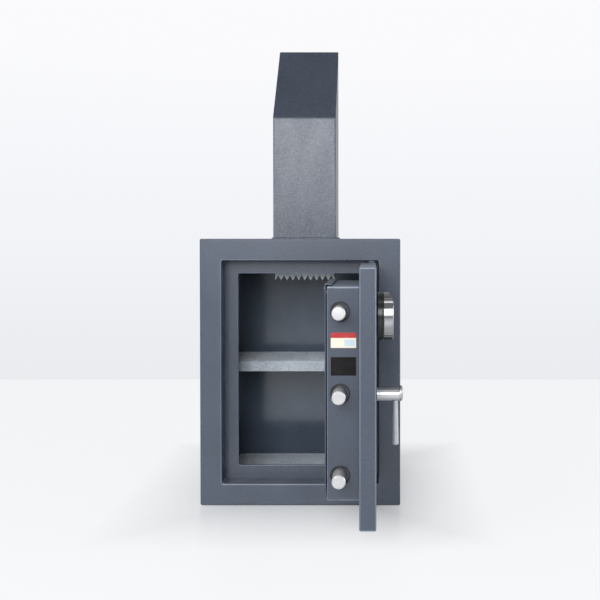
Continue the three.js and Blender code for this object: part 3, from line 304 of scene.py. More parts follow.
@dataclass(frozen=True)
class Paint(Finish):
    """Baked enamel: a slow drift of tone, fine sparkle and a faint orange peel.

    Attributes:
        drift: The tone that it drifts to.
        peel: Depth of the orange peel in metres.
        sparkle: Share by which fine specks lighten it.
        mottle: Share by which patches some millimetres wide lighten it.
        gloss: Weight of its clear coat.
    """

    CLOUD, PATCH, SPECK, SMEAR, PEEL = 7.0, 170.0, 620.0, 30.0, 420.0  # features per metre
    FLECK_TONE = (0.6, 0.66, 0.76, 1.0)

    drift: Colour = (0.1, 0.1, 0.1, 1.0)
    peel: float = 0.00003
    sparkle: float = 0.06
    mottle: float = 0.015
    gloss: float = 0.15

    def shader(self, graph: Graph) -> Socket:
        """Builds the enamel's shader.

        Args:
            graph: The material's tree.

        Returns:
            The shader.
        """
        where = graph.place()
        cloud = graph.spread(graph.grain(where, self.CLOUD, 3.0), 0.35, 0.65)
        body = graph.between(cloud, self.tone, self.drift)
        patch = graph.spread(graph.grain(where, self.PATCH, 2.0, 0.6), 0.4, 0.7, 0.0, self.mottle)
        speck = graph.spread(graph.grain(where, self.SPECK, 2.0, 0.7), 0.5, 0.8, 0.0, self.sparkle)
        fleck = graph.maths("MAXIMUM", patch, speck)
        colour = graph.between(fleck, body, self.FLECK_TONE)
        smear = graph.grain(graph.stretched(where, (1.0, 1.0, 0.3)), self.SMEAR, 4.0)
        sheen = graph.spread(smear, 0.3, 0.7, self.roughness - 0.05, self.roughness + 0.07)
        peel = graph.bump(graph.grain(where, self.PEEL, 1.0), self.peel, 0.7)
        coat = {"Coat_Weight": self.gloss, "Coat_Roughness": self.roughness * 0.45}
        return graph.surface(Base_Color=colour, Roughness=sheen, Normal=peel, **coat)


class Marks(Enum):
    """How a metal surface was worked."""

    TURNED = "rings round the axis of a turned piece, from its UV map"
    DRAWN = "fine lines along the height"
    ROLLED = "cloudy mill surface"


@dataclass(frozen=True)
class Metal(Finish):
    """Bare or plated metal with the marks of its making.

    Attributes:
        marks: The kind of marks.
        depth: Depth of the marks in metres.
        stain: Tone of its duller patches.
        haze: Share of the surface that scatters instead of mirroring.
    """

    RINGS, LINES, MILL, PATCH = 900.0, 900.0, 160.0, 45.0  # features per metre

    marks: Marks = Marks.ROLLED
    depth: float = 0.00001
    stain: Colour = (0.3, 0.3, 0.3, 1.0)
    haze: float = 0.0

    def lines(self, graph: Graph, where: Socket) -> Socket:
        """Builds the marks' pattern.

        Args:
            graph: The material's tree.
            where: Object coordinates.

        Returns:
            The pattern, 0 to 1.
        """
        if self.marks is Marks.TURNED:
            along = graph.node("ShaderNodeTexCoord").outputs["UV"]
            return graph.grain(graph.stretched(along, (0.6, self.RINGS, 1.0)), 1.0, 3.0, 0.6)
        if self.marks is Marks.DRAWN:
            return graph.grain(graph.stretched(where, (1.0, 1.0, 0.02)), self.LINES, 3.0, 0.6)
        return graph.grain(where, self.MILL, 4.0, 0.65)

    def shader(self, graph: Graph) -> Socket:
        """Builds the metal's shader.

        Args:
            graph: The material's tree.

        Returns:
            The shader.
        """
        where = graph.place()
        lines = self.lines(graph, where)
        patch = graph.spread(graph.grain(where, self.PATCH, 4.0), 0.45, 0.75)
        colour = graph.between(patch, self.tone, self.stain)
        polish = graph.spread(lines, 0.25, 0.75, self.roughness * 0.75, self.roughness * 1.3)
        normal = graph.bump(lines, self.depth)
        return graph.surface(Base_Color=colour, Metallic=1 - self.haze, Roughness=polish, Normal=normal)


@dataclass(frozen=True)
class Plastic(Finish):
    """Moulded plastic or rubber with a fine spark-eroded grain.

    Attributes:
        depth: Depth of the grain in metres.
        scuff: Tone of its paler wear.
        shine: Strength of its reflection.
    """

    WEAR, GRAIN = 90.0, 2200.0  # features per metre

    depth: float = 0.00002
    scuff: Colour = (0.05, 0.05, 0.055, 1.0)
    shine: float = 0.5

    def shader(self, graph: Graph) -> Socket:
        """Builds the plastic's shader.

        Args:
            graph: The material's tree.

        Returns:
            The shader.
        """
        where = graph.place()
        wear = graph.spread(graph.grain(where, self.WEAR, 5.0, 0.6), 0.5, 0.8)
        colour = graph.between(wear, self.tone, self.scuff)
        sheen = graph.spread(wear, 0.0, 1.0, self.roughness, self.roughness + 0.12)
        normal = graph.bump(graph.grain(where, self.GRAIN, 1.0), self.depth)
        return graph.surface(Base_Color=colour, Roughness=sheen, Normal=normal, Specular_IOR_Level=self.shine)


@dataclass(frozen=True)
class Carpet(Finish):
    """Short grey pile, mottled by lighter and darker fibres.

    Attributes:
        dark: Tone of the darker fibres.
    """

    TUFT, CLOUD = 330.0, 38.0  # features per metre

    dark: Colour = (0.1, 0.1, 0.1, 1.0)

    def shader(self, graph: Graph) -> Socket:
        """Builds the pile's shader.

        Args:
            graph: The material's tree.

        Returns:
            The shader.
        """
        where = graph.place()
        tuft = graph.spread(graph.grain(where, self.TUFT, 3.0, 0.75), 0.36, 0.64)
        cloud = graph.spread(graph.grain(where, self.CLOUD, 3.0), 0.3, 0.7, 0.0, 0.45)
        fibres = graph.between(tuft, self.dark, self.tone)
        colour = graph.between(cloud, fibres, self.tone)
        normal = graph.bump(tuft, 0.0006, 0.8)
        return graph.surface(
            Base_Color=colour, Roughness=self.roughness, Normal=normal, Sheen_Weight=0.1, Sheen_Roughness=0.5
        )


@dataclass(frozen=True)
class Mineral(Finish):
    """Cast insulating mix with pores.

    Attributes:
        pore: Tone in the pores.
    """

    PORES = 260.0  # features per metre

    pore: Colour = (0.2, 0.19, 0.17, 1.0)

    def shader(self, graph: Graph) -> Socket:
        """Builds the mix's shader.

        Args:
            graph: The material's tree.

        Returns:
            The shader.
        """
        where = graph.place()
        pits = graph.node("ShaderNodeTexVoronoi", {"Vector": where, "Scale": self.PORES}).outputs["Distance"]
        open_pore = graph.spread(pits, 0.05, 0.3)
        colour = graph.between(open_pore, self.pore, self.tone)
        normal = graph.bump(open_pore, 0.0004)
        return graph.surface(Base_Color=colour, Roughness=self.roughness, Normal=normal)


@dataclass(frozen=True)
class Vinyl(Finish):
    """Printed film.

    Attributes:
        fade: Share by which its ink is faded in places.
        shine: Strength of its reflection.
    """

    RIPPLE = 55.0  # features per metre
    FADED_TONE = (0.5, 0.5, 0.5, 1.0)

    fade: float = 0.15
    shine: float = 0.5

    def shader(self, graph: Graph) -> Socket:
        """Builds the film's shader.

        Args:
            graph: The material's tree.

        Returns:
            The shader.
        """
        where = graph.place()
        ripple = graph.grain(where, self.RIPPLE, 2.0)
        sheen = graph.spread(ripple, 0.3, 0.7, self.roughness, self.roughness + 0.08)
        faded = graph.between(graph.spread(ripple, 0.4, 0.9, 0.0, self.fade), self.tone, self.FADED_TONE)
        normal = graph.bump(ripple, 0.00006)
        return graph.surface(Base_Color=faded, Roughness=sheen, Normal=normal, Specular_IOR_Level=self.shine)


@dataclass(frozen=True)
class Lens(Finish):
    """Clear coloured plastic over a small lamp that is off."""

    CLOUD = 1500.0  # features per metre
    CORE_TONE = (0.4, 0.04, 0.03, 1.0)

    def shader(self, graph: Graph) -> Socket:
        """Builds the lens's shader.

        Args:
            graph: The material's tree.

        Returns:
            The shader.
        """
        depth = graph.spread(graph.grain(graph.place(), self.CLOUD, 1.0), 0.2, 0.8)
        colour = graph.between(depth, self.tone, self.CORE_TONE)
        return graph.surface(
            Base_Color=colour, Roughness=self.roughness, Transmission_Weight=0.35, Coat_Weight=0.6
        )


ENAMEL = Paint("blue_grey_enamel", screen(56, 66, 82), 0.36, drift=screen(51, 60, 75), gloss=0.26)
# the hood's slope wears the cabinet's enamel painted darker: painted shade for the dim light that reaches it
HOOD_SHADED_ENAMEL = Paint("hood_enamel", screen(36, 45, 59), 0.4, drift=screen(31, 39, 52), mottle=0.02)
NECK_ENAMEL = Paint(
    "neck_enamel", screen(53, 62, 77), 0.38, screen(46, 54, 68), 0.0001, sparkle=0.3, mottle=0.06, gloss=0.1
)
INSIDE_ENAMEL = Paint("inside_enamel", screen(74, 85, 100), 0.17, drift=screen(68, 78, 92), gloss=0.2)
# paler enamel for rounded edges: a painted highlight where light catches them
EDGE_HIGHLIGHT_ENAMEL = Paint("thin_edge_enamel", screen(96, 106, 122), 0.3, drift=screen(84, 94, 109), gloss=0.3)
GUIDE_ENAMEL = Paint("guide_enamel", screen(66, 72, 84), 0.36, screen(58, 64, 75), sparkle=0.03, gloss=0.1)
STEEL = Metal(
    "turned_steel", (0.52, 0.52, 0.53, 1), 0.38, Marks.TURNED, 0.00002, (0.44, 0.44, 0.45, 1), haze=0.35
)
CHROME = Metal("satin_chrome", (0.53, 0.54, 0.56, 1), 0.32, Marks.TURNED, 0.000004, (0.47, 0.48, 0.5, 1))
LEVER_CHROME = Metal(
    "lever_chrome", (0.42, 0.43, 0.455, 1), 0.42, Marks.TURNED, 0.000004, (0.37, 0.38, 0.4, 1), haze=0.5
)
SHELL_CHROME = Metal(
    "keypad_chrome", (0.34, 0.34, 0.355, 1), 0.1, depth=0.000002, stain=(0.31, 0.31, 0.325, 1)
)
COMB_STEEL = Metal("comb_steel", (0.36, 0.385, 0.43, 1), 0.4, stain=(0.29, 0.31, 0.35, 1), haze=0.3)
ZINC = Metal("zinc_plate", (0.55, 0.57, 0.62, 1), 0.36, stain=(0.42, 0.44, 0.49, 1))
DRAWN_STEEL = Metal("drawn_steel", (0.5, 0.51, 0.53, 1), 0.32, Marks.DRAWN, stain=(0.36, 0.37, 0.39, 1))
BRONZE = Metal("bearing_bronze", (0.5, 0.3, 0.12, 1), 0.38, Marks.TURNED, stain=(0.33, 0.19, 0.08, 1))
BLACK_PLASTIC = Plastic(
    "black_plastic", (0.005, 0.005, 0.006, 1), 0.11, scuff=(0.009, 0.009, 0.01, 1), shine=0.3
)
KEY_RUBBER = Plastic("key_rubber", (0.03, 0.031, 0.035, 1), 0.5, depth=0.00001, scuff=(0.07, 0.07, 0.075, 1))
PILE = Carpet("grey_pile", screen(191, 199, 208), 0.95, dark=screen(144, 151, 160))
FILL = Mineral("insulating_mix", (0.5, 0.47, 0.4, 1), 0.95)
RED_FILM = Vinyl("red_film", screen(168, 20, 28), 0.34, fade=0.08)
CREAM_FILM = Vinyl("cream_film", screen(220, 212, 194), 0.36, fade=0.05)
BLUE_FILM = Vinyl("pale_blue_film", screen(178, 198, 208), 0.36, fade=0.05)
BLACK_FILM = Vinyl("black_film", screen(18, 18, 20), 0.5, fade=0.02, shine=0.12)
# black ring in the bolt holes: painted shade standing for the shadow in the gap round each bolt
HOLE_SHADE_RING = Plastic("hole_edging", (0.006, 0.006, 0.008, 1), 0.5, depth=0.00001, scuff=(0.012, 0.012, 0.014, 1))
DIGIT_INK = Vinyl("digit_ink", screen(226, 228, 230), 0.45)
GREEN_LENS = Lens("status_lens", (0.02, 0.22, 0.05, 1), 0.08)

CAD_FINISH = {
    "painted_steel": ENAMEL,
    "painted_inside": INSIDE_ENAMEL,
    "insulation": FILL,
    "bare_steel": ZINC,
    "machined_steel": DRAWN_STEEL,
    "bronze": BRONZE,
    "chromed": SHELL_CHROME,
    "black_plastic": BLACK_PLASTIC,
    "key_rubber": KEY_RUBBER,
    "carpet": PILE,
}


def link(name: str, data: bpy.types.ID) -> Piece:
    """Puts a mesh, lamp, camera or text in the scene.

    Args:
        name: The object's name.
        data: What it shows.

    Returns:
        The object.
    """
    made = bpy.data.objects.new(name, data)
    bpy.context.scene.collection.objects.link(made)
    return made


def meshed(name: str, build: Callable[[Work], None]) -> Piece:
    """Makes an object from a function that fills an empty mesh.

    Args:
        name: The object's name.
        build: Fills the mesh.

    Returns:
        The object.
    """
    work = bmesh.new()
    build(work)
    mesh = bpy.data.meshes.new(name)
    work.to_mesh(mesh)
    work.free()
    return link(name, mesh)


def plain(
    name: str,
    points: Sequence[Sequence[float]],
    faces: Sequence[Sequence[int]] = (),
    edges: Sequence[Sequence[int]] = (),
) -> Piece:
    """Makes an object from its points.

    Args:
        name: The object's name.
        points: Its points.
        faces: Its faces, as numbers of points.
        edges: Its loose edges, likewise.

    Returns:
        The object.
    """
    mesh = bpy.data.meshes.new(name)
    mesh.from_pydata(points, edges, faces)
    return link(name, mesh)


def settle(piece: Piece) -> Piece:
    """Turns a piece's modifiers into a plain mesh.

    Args:
        piece: The piece.

    Returns:
        The same piece.
    """
    bpy.context.view_layer.update()
    depsgraph = bpy.context.evaluated_depsgraph_get()
    solved = piece.evaluated_get(depsgraph)
    mesh = bpy.data.meshes.new_from_object(solved, preserve_all_data_layers=True, depsgraph=depsgraph)
    piece.modifiers.clear()
    former = piece.data
    piece.data = mesh
    bpy.data.meshes.remove(former)
    return piece


def smooth(piece: Piece, angle: float = 40.0) -> Piece:
    """Shades a piece smooth but for its sharper edges.

    Args:
        piece: The piece.
        angle: Edges over this many degrees stay sharp.

    Returns:
        The same piece.
    """
    piece.data.shade_smooth()
    piece.data.set_sharp_from_angle(angle=math.radians(angle))
    return piece


def weighted(piece: Piece) -> Piece:
    """Bends the shading of round edges only, so that flat faces stay flat.

    Args:
        piece: The piece.

    Returns:
        The same piece.
    """
    modifier = piece.modifiers.new("weighted", "WEIGHTED_NORMAL")
    modifier.keep_sharp = True
    return settle(piece)


def eased(piece: Piece, width: float, steps: int = 3, angle: float = 50.0) -> Piece:
    """Rounds a piece's sharp edges.

    Args:
        piece: The piece.
        width: Width of the rounding in metres.
        steps: Segments of the rounding.
        angle: Edges over this many degrees are rounded.

    Returns:
        The same piece.
    """
    modifier = piece.modifiers.new("eased", "BEVEL")
    modifier.width = width
    modifier.segments = steps
    modifier.limit_method = "ANGLE"
    modifier.angle_limit = math.radians(angle)
    modifier.miter_outer = "MITER_ARC"
    return settle(piece)


def combined(piece: Piece, tool: Piece, operation: str) -> Piece:
    """Joins or cuts a piece with another and removes the other.

    Args:
        piece: The piece that stays.
        tool: The other piece.
        operation: UNION, DIFFERENCE or INTERSECT.

    Returns:
        The piece.
    """
    modifier = piece.modifiers.new("combined", "BOOLEAN")
    modifier.operation = operation
    modifier.solver = "EXACT"
    modifier.object = tool
    settle(piece)
    bpy.data.objects.remove(tool)
    return piece


def dress(piece: Piece, finish: Finish, node: str, *stands_for: str) -> Piece:
    """Gives a piece its finish and body.

    Args:
        piece: The piece.
        finish: Its finish.
        node: The CAD node whose body it takes.
        *stands_for: CAD nodes that it is shown in place of.

    Returns:
        The piece.
    """
    piece.data.materials.clear()
    piece.data.materials.append(finish.material())
    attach(piece, BODY_OF[node])
    if stands_for:
        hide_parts(*stands_for)
    LOG.info("%s: %d faces, on %s", piece.name, len(piece.data.polygons), BODY_OF[node])
    return piece


def skin(node: str, finish: Finish, edge: float = 0.0004) -> Piece:
    """Makes a clean, smooth-shaded copy of a CAD node and shows it in the node's place.

    Args:
        node: The CAD node.
        finish: The copy's finish.
        edge: Width of the easing on its sharp edges in metres.

    Returns:
        The piece.
    """
    source = frame["nodes"][node].data

    def build(work: Work) -> None:
        """Copies the node's faces, merged and with flat areas as one face each.

        Args:
            work: The empty mesh.
        """
        corners = [work.verts.new(vertex.co) for vertex in source.vertices]
        for polygon in source.polygons:
            work.faces.new([corners[index] for index in polygon.vertices])
        bmesh.ops.remove_doubles(work, verts=work.verts, dist=SAME_SPOT)
        flat = math.radians(SAME_FACE)
        bmesh.ops.dissolve_limit(work, angle_limit=flat, verts=work.verts, edges=work.edges)

    piece = meshed(f"{node}_skin", build)
    if edge > 0:
        eased(piece, edge)
    weighted(smooth(piece, BOXY_ANGLE))
    return dress(piece, finish, node, node)


def painted_edge_highlights(piece: Piece, finish: Finish, rim: float = 0.0, flat: float = 0.985) -> None:
    """Gives a boxy piece's rounded edges a paler finish of their own, a painted highlight where light catches
    the rounding.

    Args:
        piece: The piece, already dressed.
        finish: The edges' paler finish, which paints their highlight.
        rim: Width of the outline, seen along Y in metres, that keeps the faces' finish.
        flat: A face counts as flat if its normal lies this near an axis.
    """
    piece.data.materials.append(finish.material())
    wide, high = ([vertex.co[axis] for vertex in piece.data.vertices] for axis in (0, 2))
    left, right, foot, top = min(wide), max(wide), min(high), max(high)
    for polygon in piece.data.polygons:
        spot = polygon.center
        inset = min(spot.x - left, right - spot.x, spot.z - foot, top - spot.z)
        if inset >= rim and max(abs(share) for share in polygon.normal) < flat:
            polygon.material_index = 1


def rounded(corners: Sequence[Point2], radii: Sequence[float], steps: int = 6) -> list[Point2]:
    """Rounds the inner corners of a line.

    Args:
        corners: The line's corners.
        radii: One radius for each corner, 0 where it stays sharp.
        steps: Segments of each arc.

    Returns:
        The rounded line.
    """
    line: list[Point2] = []
    for index, corner in enumerate(corners):
        if radii[index] == 0 or index in (0, len(corners) - 1):
            line.append(corner)
            continue
        here = Vector(corner)
        before = (Vector(corners[index - 1]) - here).normalized()
        after = (Vector(corners[index + 1]) - here).normalized()
        half = before.angle(after) / 2
        reach = radii[index] / math.tan(half)
        centre = here + (before + after).normalized() * (radii[index] / math.sin(half))
        start = here + before * reach - centre
        end = here + after * reach - centre
        sweep = start.angle_signed(end)
        for step in range(steps + 1):
            turn = -sweep * step / steps
            cosine, sine = math.cos(turn), math.sin(turn)
            spoke = (start.x * cosine - start.y * sine, start.x * sine + start.y * cosine)
            line.append((centre.x + spoke[0], centre.y + spoke[1]))
    return line


class Axis(Enum):
    """Direction of a turned piece's axis, as the matrix that lays +Z along it."""

    X = Matrix.Rotation(math.pi / 2, 4, "Y")
    Y = Matrix.Rotation(-math.pi / 2, 4, "X")
    Z = Matrix.Identity(4)


def turned(
    name: str, profile: Sequence[Point2], axis: Axis, origin: Sequence[float], sides: int = 72
) -> Piece:
    """Turns a profile round an axis, with a UV map of turn and distance along the profile.

    Args:
        name: The piece's name.
        profile: Radius and height of each point, the first and last on the axis.
        axis: The axis.
        origin: Where the profile's zero height is.
        sides: Steps round the axis.

    Returns:
        The piece.
    """

    def build(work: Work) -> None:
        """Makes the rings and the faces between them.

        Args:
            work: The empty mesh.
        """
        layer = work.loops.layers.uv.new("turning")
        along = [0.0]
        for first, second in zip(profile, profile[1:]):
            along.append(along[-1] + math.dist(first, second))
        rings: list[list[bmesh.types.BMVert]] = []
        for radius, height in profile:
            if radius < 1e-7:
                rings.append([work.verts.new((0, 0, height))] * sides)
                continue
            turns = [2 * math.pi * step / sides for step in range(sides)]
            spots = [(radius * math.cos(turn), radius * math.sin(turn), height) for turn in turns]
            rings.append([work.verts.new(spot) for spot in spots])
        for row in range(len(rings) - 1):
            for step in range(sides):
                after = (step + 1) % sides
                ring = [
                    (rings[row][step], step, row),
                    (rings[row][after], step + 1, row),
                    (rings[row + 1][after], step + 1, row + 1),
                    (rings[row + 1][step], step, row + 1),
                ]
                kept = list({corner[0]: corner for corner in reversed(ring)}.values())[::-1]
                face = work.faces.new([corner[0] for corner in kept])
                for loop, (_, turn, level) in zip(face.loops, kept):
                    loop[layer].uv = (turn / sides, along[level])
        bmesh.ops.recalc_face_normals(work, faces=work.faces)
        bmesh.ops.transform(work, matrix=Matrix.Translation(origin) @ axis.value, verts=work.verts)

    return smooth(meshed(name, build), ROUND_ANGLE)


def prism(name: str, outline: Sequence[Point2], depth: float, place: Matrix) -> Piece:
    """Extrudes an outline.

    Args:
        name: The piece's name.
        outline: Its corners, counterclockwise.
        depth: Its depth along the outline's normal.
        place: Matrix that puts it in its place.

    Returns:
        The piece.
    """
    count = len(outline)
    points = [(x, y, z) for z in (0.0, depth) for x, y in outline]
    sides = [(step, (step + 1) % count, (step + 1) % count + count, step + count) for step in range(count)]
    made = plain(name, points, [range(count)[::-1], range(count, 2 * count), *sides])
    made.data.transform(place)
    if place.determinant() < 0:
        made.data.flip_normals()
    return made


def rectangle(width: float, height: float, radius: float, steps: int = 6) -> list[Point2]:
    """Draws a rounded rectangle about the origin.

    Args:
        width: Its width.
        height: Its height.
        radius: Radius of its corners.
        steps: Segments of each corner.

    Returns:
        Its points, counterclockwise.
    """
    line: list[Point2] = []
    for quarter, (side_x, side_y) in enumerate(((1, 1), (-1, 1), (-1, -1), (1, -1))):
        centre = (side_x * (width / 2 - radius), side_y * (height / 2 - radius))
        for step in range(steps + 1):
            turn = (quarter + step / steps) * math.pi / 2
            line.append((centre[0] + radius * math.cos(turn), centre[1] + radius * math.sin(turn)))
    return line


FACING_RIGHT = Matrix(((0, 0, 1, 0), (1, 0, 0, 0), (0, 1, 0, 0), (0, 0, 0, 1)))
FACING_FRONT = Matrix(((1, 0, 0, 0), (0, 0, -1, 0), (0, 1, 0, 0), (0, 0, 0, 1)))


class GeometryTree:
    """A Geometry Nodes tree with named inputs, built in code and run once on a mesh."""

    def __init__(self, name: str, sockets: dict[str, tuple[str, Any]]) -> None:
        """Makes the empty tree.

        Args:
            name: The tree's name.
            sockets: For each input's name, its socket type and first value.
        """
        self.group = bpy.data.node_groups.new(name, "GeometryNodeTree")
        face = self.group.interface
        face.new_socket("Geometry", in_out="INPUT", socket_type="NodeSocketGeometry")
        face.new_socket("Geometry", in_out="OUTPUT", socket_type="NodeSocketGeometry")
        for label, (kind, value) in sockets.items():
            made = face.new_socket(label, in_out="INPUT", socket_type=kind)
            if value is not None:
                made.default_value = value
        face.new_socket("Finish", in_out="INPUT", socket_type="NodeSocketMaterial")
        self.graph = Graph(self.group)
        self.given = self.graph.node("NodeGroupInput").outputs

    def close(self, geometry: Socket) -> None:
        """Ends the tree in Realize Instances and Set Material.

        Args:
            geometry: What it has made.
        """
        real = self.graph.node("GeometryNodeRealizeInstances", {"Geometry": geometry})
        painted = self.graph.node(
            "GeometryNodeSetMaterial", {"Geometry": real.outputs[0], "Material": self.given["Finish"]}
        )
        self.graph.node("NodeGroupOutput", {"Geometry": painted.outputs[0]})

    def run(self, piece: Piece, **values: Any) -> Piece:
        """Runs the tree on a piece's mesh and keeps the result as its mesh.

        Args:
            piece: The piece.
            **values: Values for the tree's inputs, underscores for spaces.

        Returns:
            The same piece.
        """
        modifier = piece.modifiers.new(self.group.name, "NODES")
        modifier.node_group = self.group
        for item in self.group.interface.items_tree:
            label = item.name.replace(" ", "_")
            if item.in_out == "INPUT" and label in values:
                modifier[item.identifier] = values[label]
        return settle(piece)


def scatter_tree() -> GeometryTree:
    """Builds the tree that sets one shape on every point of a mesh, turned a random way round one axis.

    Returns:
        The tree.
    """
    tree = GeometryTree(
        "fastenings",
        {
            "Shape": ("NodeSocketObject", None),
            "Tilt": ("NodeSocketVector", None),
            "Seed": ("NodeSocketInt", 3),
        },
    )
    graph, given = tree.graph, tree.given
    shape = graph.node("GeometryNodeObjectInfo", {"Object": given["Shape"]}).outputs["Geometry"]
    spin = graph.random(0.0, 2 * math.pi, given["Seed"])
    placed = graph.strewn(given["Geometry"], shape, given["Tilt"])
    inputs = {"Instances": placed, "Rotation": graph.vector(Z=spin)}
    tree.close(graph.node("GeometryNodeRotateInstances", inputs).outputs[0])
    return tree


def bead_tree() -> GeometryTree:
    """Builds the tree that lays a rippled weld bead along a line of edges.

    Returns:
        The tree.
    """
    tree = GeometryTree(
        "weld_bead",
        {
            "Ripple Pitch": ("NodeSocketFloat", 0.0016),
            "Bead Radius": ("NodeSocketFloat", 0.0035),
            "Unevenness": ("NodeSocketFloat", 0.12),
            "Seed": ("NodeSocketInt", 5),
        },
    )
    graph, given = tree.graph, tree.given
    path = graph.node("GeometryNodeMeshToCurve", {"Mesh": given["Geometry"]}).outputs[0]
    inputs = {"Curve": path, "Length": given["Ripple Pitch"]}
    even = graph.node("GeometryNodeResampleCurve", inputs, mode="LENGTH").outputs[0]
    inputs = {"Resolution": 12, "Radius": given["Bead Radius"]}
    core = graph.node("GeometryNodeCurvePrimitiveCircle", inputs).outputs[0]
    inputs = {"Curve": even, "Profile Curve": core, "Scale": 0.93}
    run = graph.node("GeometryNodeCurveToMesh", inputs).outputs[0]
    inputs = {"Segments": 12, "Rings": 8, "Radius": given["Bead Radius"]}
    ball = graph.node("GeometryNodeMeshUVSphere", inputs).outputs[0]
    least, most = (graph.maths(sign, 1.0, given["Unevenness"]) for sign in ("SUBTRACT", "ADD"))
    width = graph.random(least, most, given["Seed"])
    tangent = graph.node("GeometryNodeInputTangent").outputs[0]
    way = graph.node("FunctionNodeAlignRotationToVector", {"Vector": tangent}, axis="Z").outputs[0]
    ripples = graph.strewn(even, ball, way, Scale=graph.vector(X=width, Y=width, Z=0.55))
    tree.close(graph.joined(run, ripples))
    return tree


def pile_tree() -> GeometryTree:
    """Builds the tree that grows short tufts on the upward and outward faces of a sheet.

    Returns:
        The tree.
    """
    tree = GeometryTree(
        "pile",
        {
            "Tufts per Square Metre": ("NodeSocketFloat", 300000.0),
            "Tuft Height": ("NodeSocketFloat", 0.001),
            "Tuft Radius": ("NodeSocketFloat", 0.0006),
            "Seed": ("NodeSocketInt", 11),
        },
    )
    graph, given = tree.graph, tree.given
    inputs = {"Mesh": given["Geometry"], "Density": given["Tufts per Square Metre"], "Seed": given["Seed"]}
    spots = graph.node("GeometryNodeDistributePointsOnFaces", inputs).outputs
    inputs = {
        "Vertices": 3,
        "Side Segments": 1,
        "Radius Top": 0.0001,
        "Radius Bottom": given["Tuft Radius"],
        "Depth": given["Tuft Height"],
    }
    tuft = graph.node("GeometryNodeMeshCone", inputs, fill_type="NONE").outputs["Mesh"]
    size = graph.random(0.55, 1.35, given["Seed"])
    placed = graph.strewn(spots["Points"], tuft, spots["Rotation"], Scale=size)
    inputs = {0: (-0.6, -0.6, 0.0), 1: (0.6, 0.6, 6.3), "Seed": given["Seed"]}
    lean = graph.node("FunctionNodeRandomValue", inputs, data_type="FLOAT_VECTOR").outputs[0]
    inputs = {"Instances": placed, "Rotation": lean}
    tree.close(graph.node("GeometryNodeRotateInstances", inputs).outputs[0])
    return tree


def comb_tree() -> GeometryTree:
    """Builds the tree that cuts a row of saw teeth along the lower edge of a plate.

    Returns:
        The tree, which works on an empty mesh and makes a closed plate that faces the front.
    """
    tree = GeometryTree(
        "saw_teeth",
        {
            "Teeth": ("NodeSocketInt", 10),
            "Width": ("NodeSocketFloat", 0.12),
            "Height": ("NodeSocketFloat", 0.07),
            "Tooth Height": ("NodeSocketFloat", 0.009),
            "Thickness": ("NodeSocketFloat", 0.002),
            "Corner": ("NodeSocketVector", None),
        },
    )
    graph, given = tree.graph, tree.given
    half_steps = graph.maths("MULTIPLY", given["Teeth"], 2.0)
    columns = graph.maths("ADD", half_steps, 1.0)
    inputs = {"Size X": given["Width"], "Size Y": given["Height"], "Vertices X": columns, "Vertices Y": 2}
    sheet = graph.node("GeometryNodeMeshGrid", inputs).outputs[0]
    place = graph.node("GeometryNodeInputPosition").outputs[0]
    parts = graph.parts(place)
    half_step = graph.maths("DIVIDE", given["Width"], half_steps)
    from_left = graph.maths("ADD", parts[0], graph.maths("MULTIPLY", given["Width"], 0.5))
    column = graph.maths("ROUND", graph.maths("DIVIDE", from_left, half_step))
    odd = graph.maths("MODULO", column, 2.0)
    low = graph.maths("LESS_THAN", parts[1], 0.0)
    rise = graph.maths("MULTIPLY", graph.maths("MULTIPLY", odd, low), given["Tooth Height"])
    inputs = {"Geometry": sheet, "Offset": graph.vector(Y=rise)}
    cut = graph.node("GeometryNodeSetPosition", inputs).outputs[0]
    inputs = {"Mesh": cut, "Offset Scale": given["Thickness"], "Individual": False}
    raised = graph.node("GeometryNodeExtrudeMesh", inputs, mode="FACES").outputs[0]
    back = graph.node("GeometryNodeFlipFaces", {"Mesh": cut}).outputs[0]
    inputs = {"Geometry": graph.joined(raised, back), "Distance": 1e-6}
    whole = graph.node("GeometryNodeMergeByDistance", inputs).outputs[0]
    inputs = {"Geometry": whole, "Translation": given["Corner"], "Rotation": (math.pi / 2, 0.0, 0.0)}
    tree.close(graph.node("GeometryNodeTransform", inputs).outputs[0])
    return tree


@dataclass
class Screws:
    """Rows of cross-recessed pan screws of one size.

    Attributes:
        head_radius: Radius of a head.
        head_height: Height of a head.
        recess: Width of the cross's arms.
        finish: Their finish.
    """

    head_radius: float = 0.004
    head_height: float = 0.0024
    recess: float = 0.0011
    finish: Finish = DRAWN_STEEL

    def head(self) -> Piece:
        """Makes one head, standing on the origin along +Z.

        Returns:
            The head.
        """
        low, top = self.head_height * 0.35, self.head_height
        rim = self.head_radius
        corners = [(0.0, 0.0), (rim, 0.0), (rim, low), (rim * 0.6, top), (0.0, top)]
        profile = rounded(corners, [0, 0, low * 0.9, low * 1.6, 0], 4)
        made = turned("screw_head", profile, Axis.Z, (0, 0, 0), 20)
        arm = rectangle(rim * 1.15, self.recess, self.recess * 0.2, 1)
        lift = Matrix.Translation((0, 0, top * 0.45))
        for turn in (0.0, math.pi / 2):
            slot = prism("screw_slot", arm, top, lift @ Matrix.Rotation(turn, 4, "Z"))
            combined(made, slot, "DIFFERENCE")
        return made

    def drive(self, name: str, points: Sequence[Vector], tilt: Matrix, node: str, seed: int) -> None:
        """Sets a head on each point.

        Args:
            name: The row's name.
            points: Where the heads stand.
            tilt: Matrix whose +Z is the way that they face.
            node: The CAD node that they hold.
            seed: Seed of their turns.
        """
        head, finish = self.head(), self.finish.material()
        row = plain(name, points)
        scatter_tree().run(row, Shape=head, Tilt=tilt.to_euler(), Seed=seed, Finish=finish)
        bpy.data.objects.remove(head)
        dress(smooth(row, ROUND_ANGLE), self.finish, node)


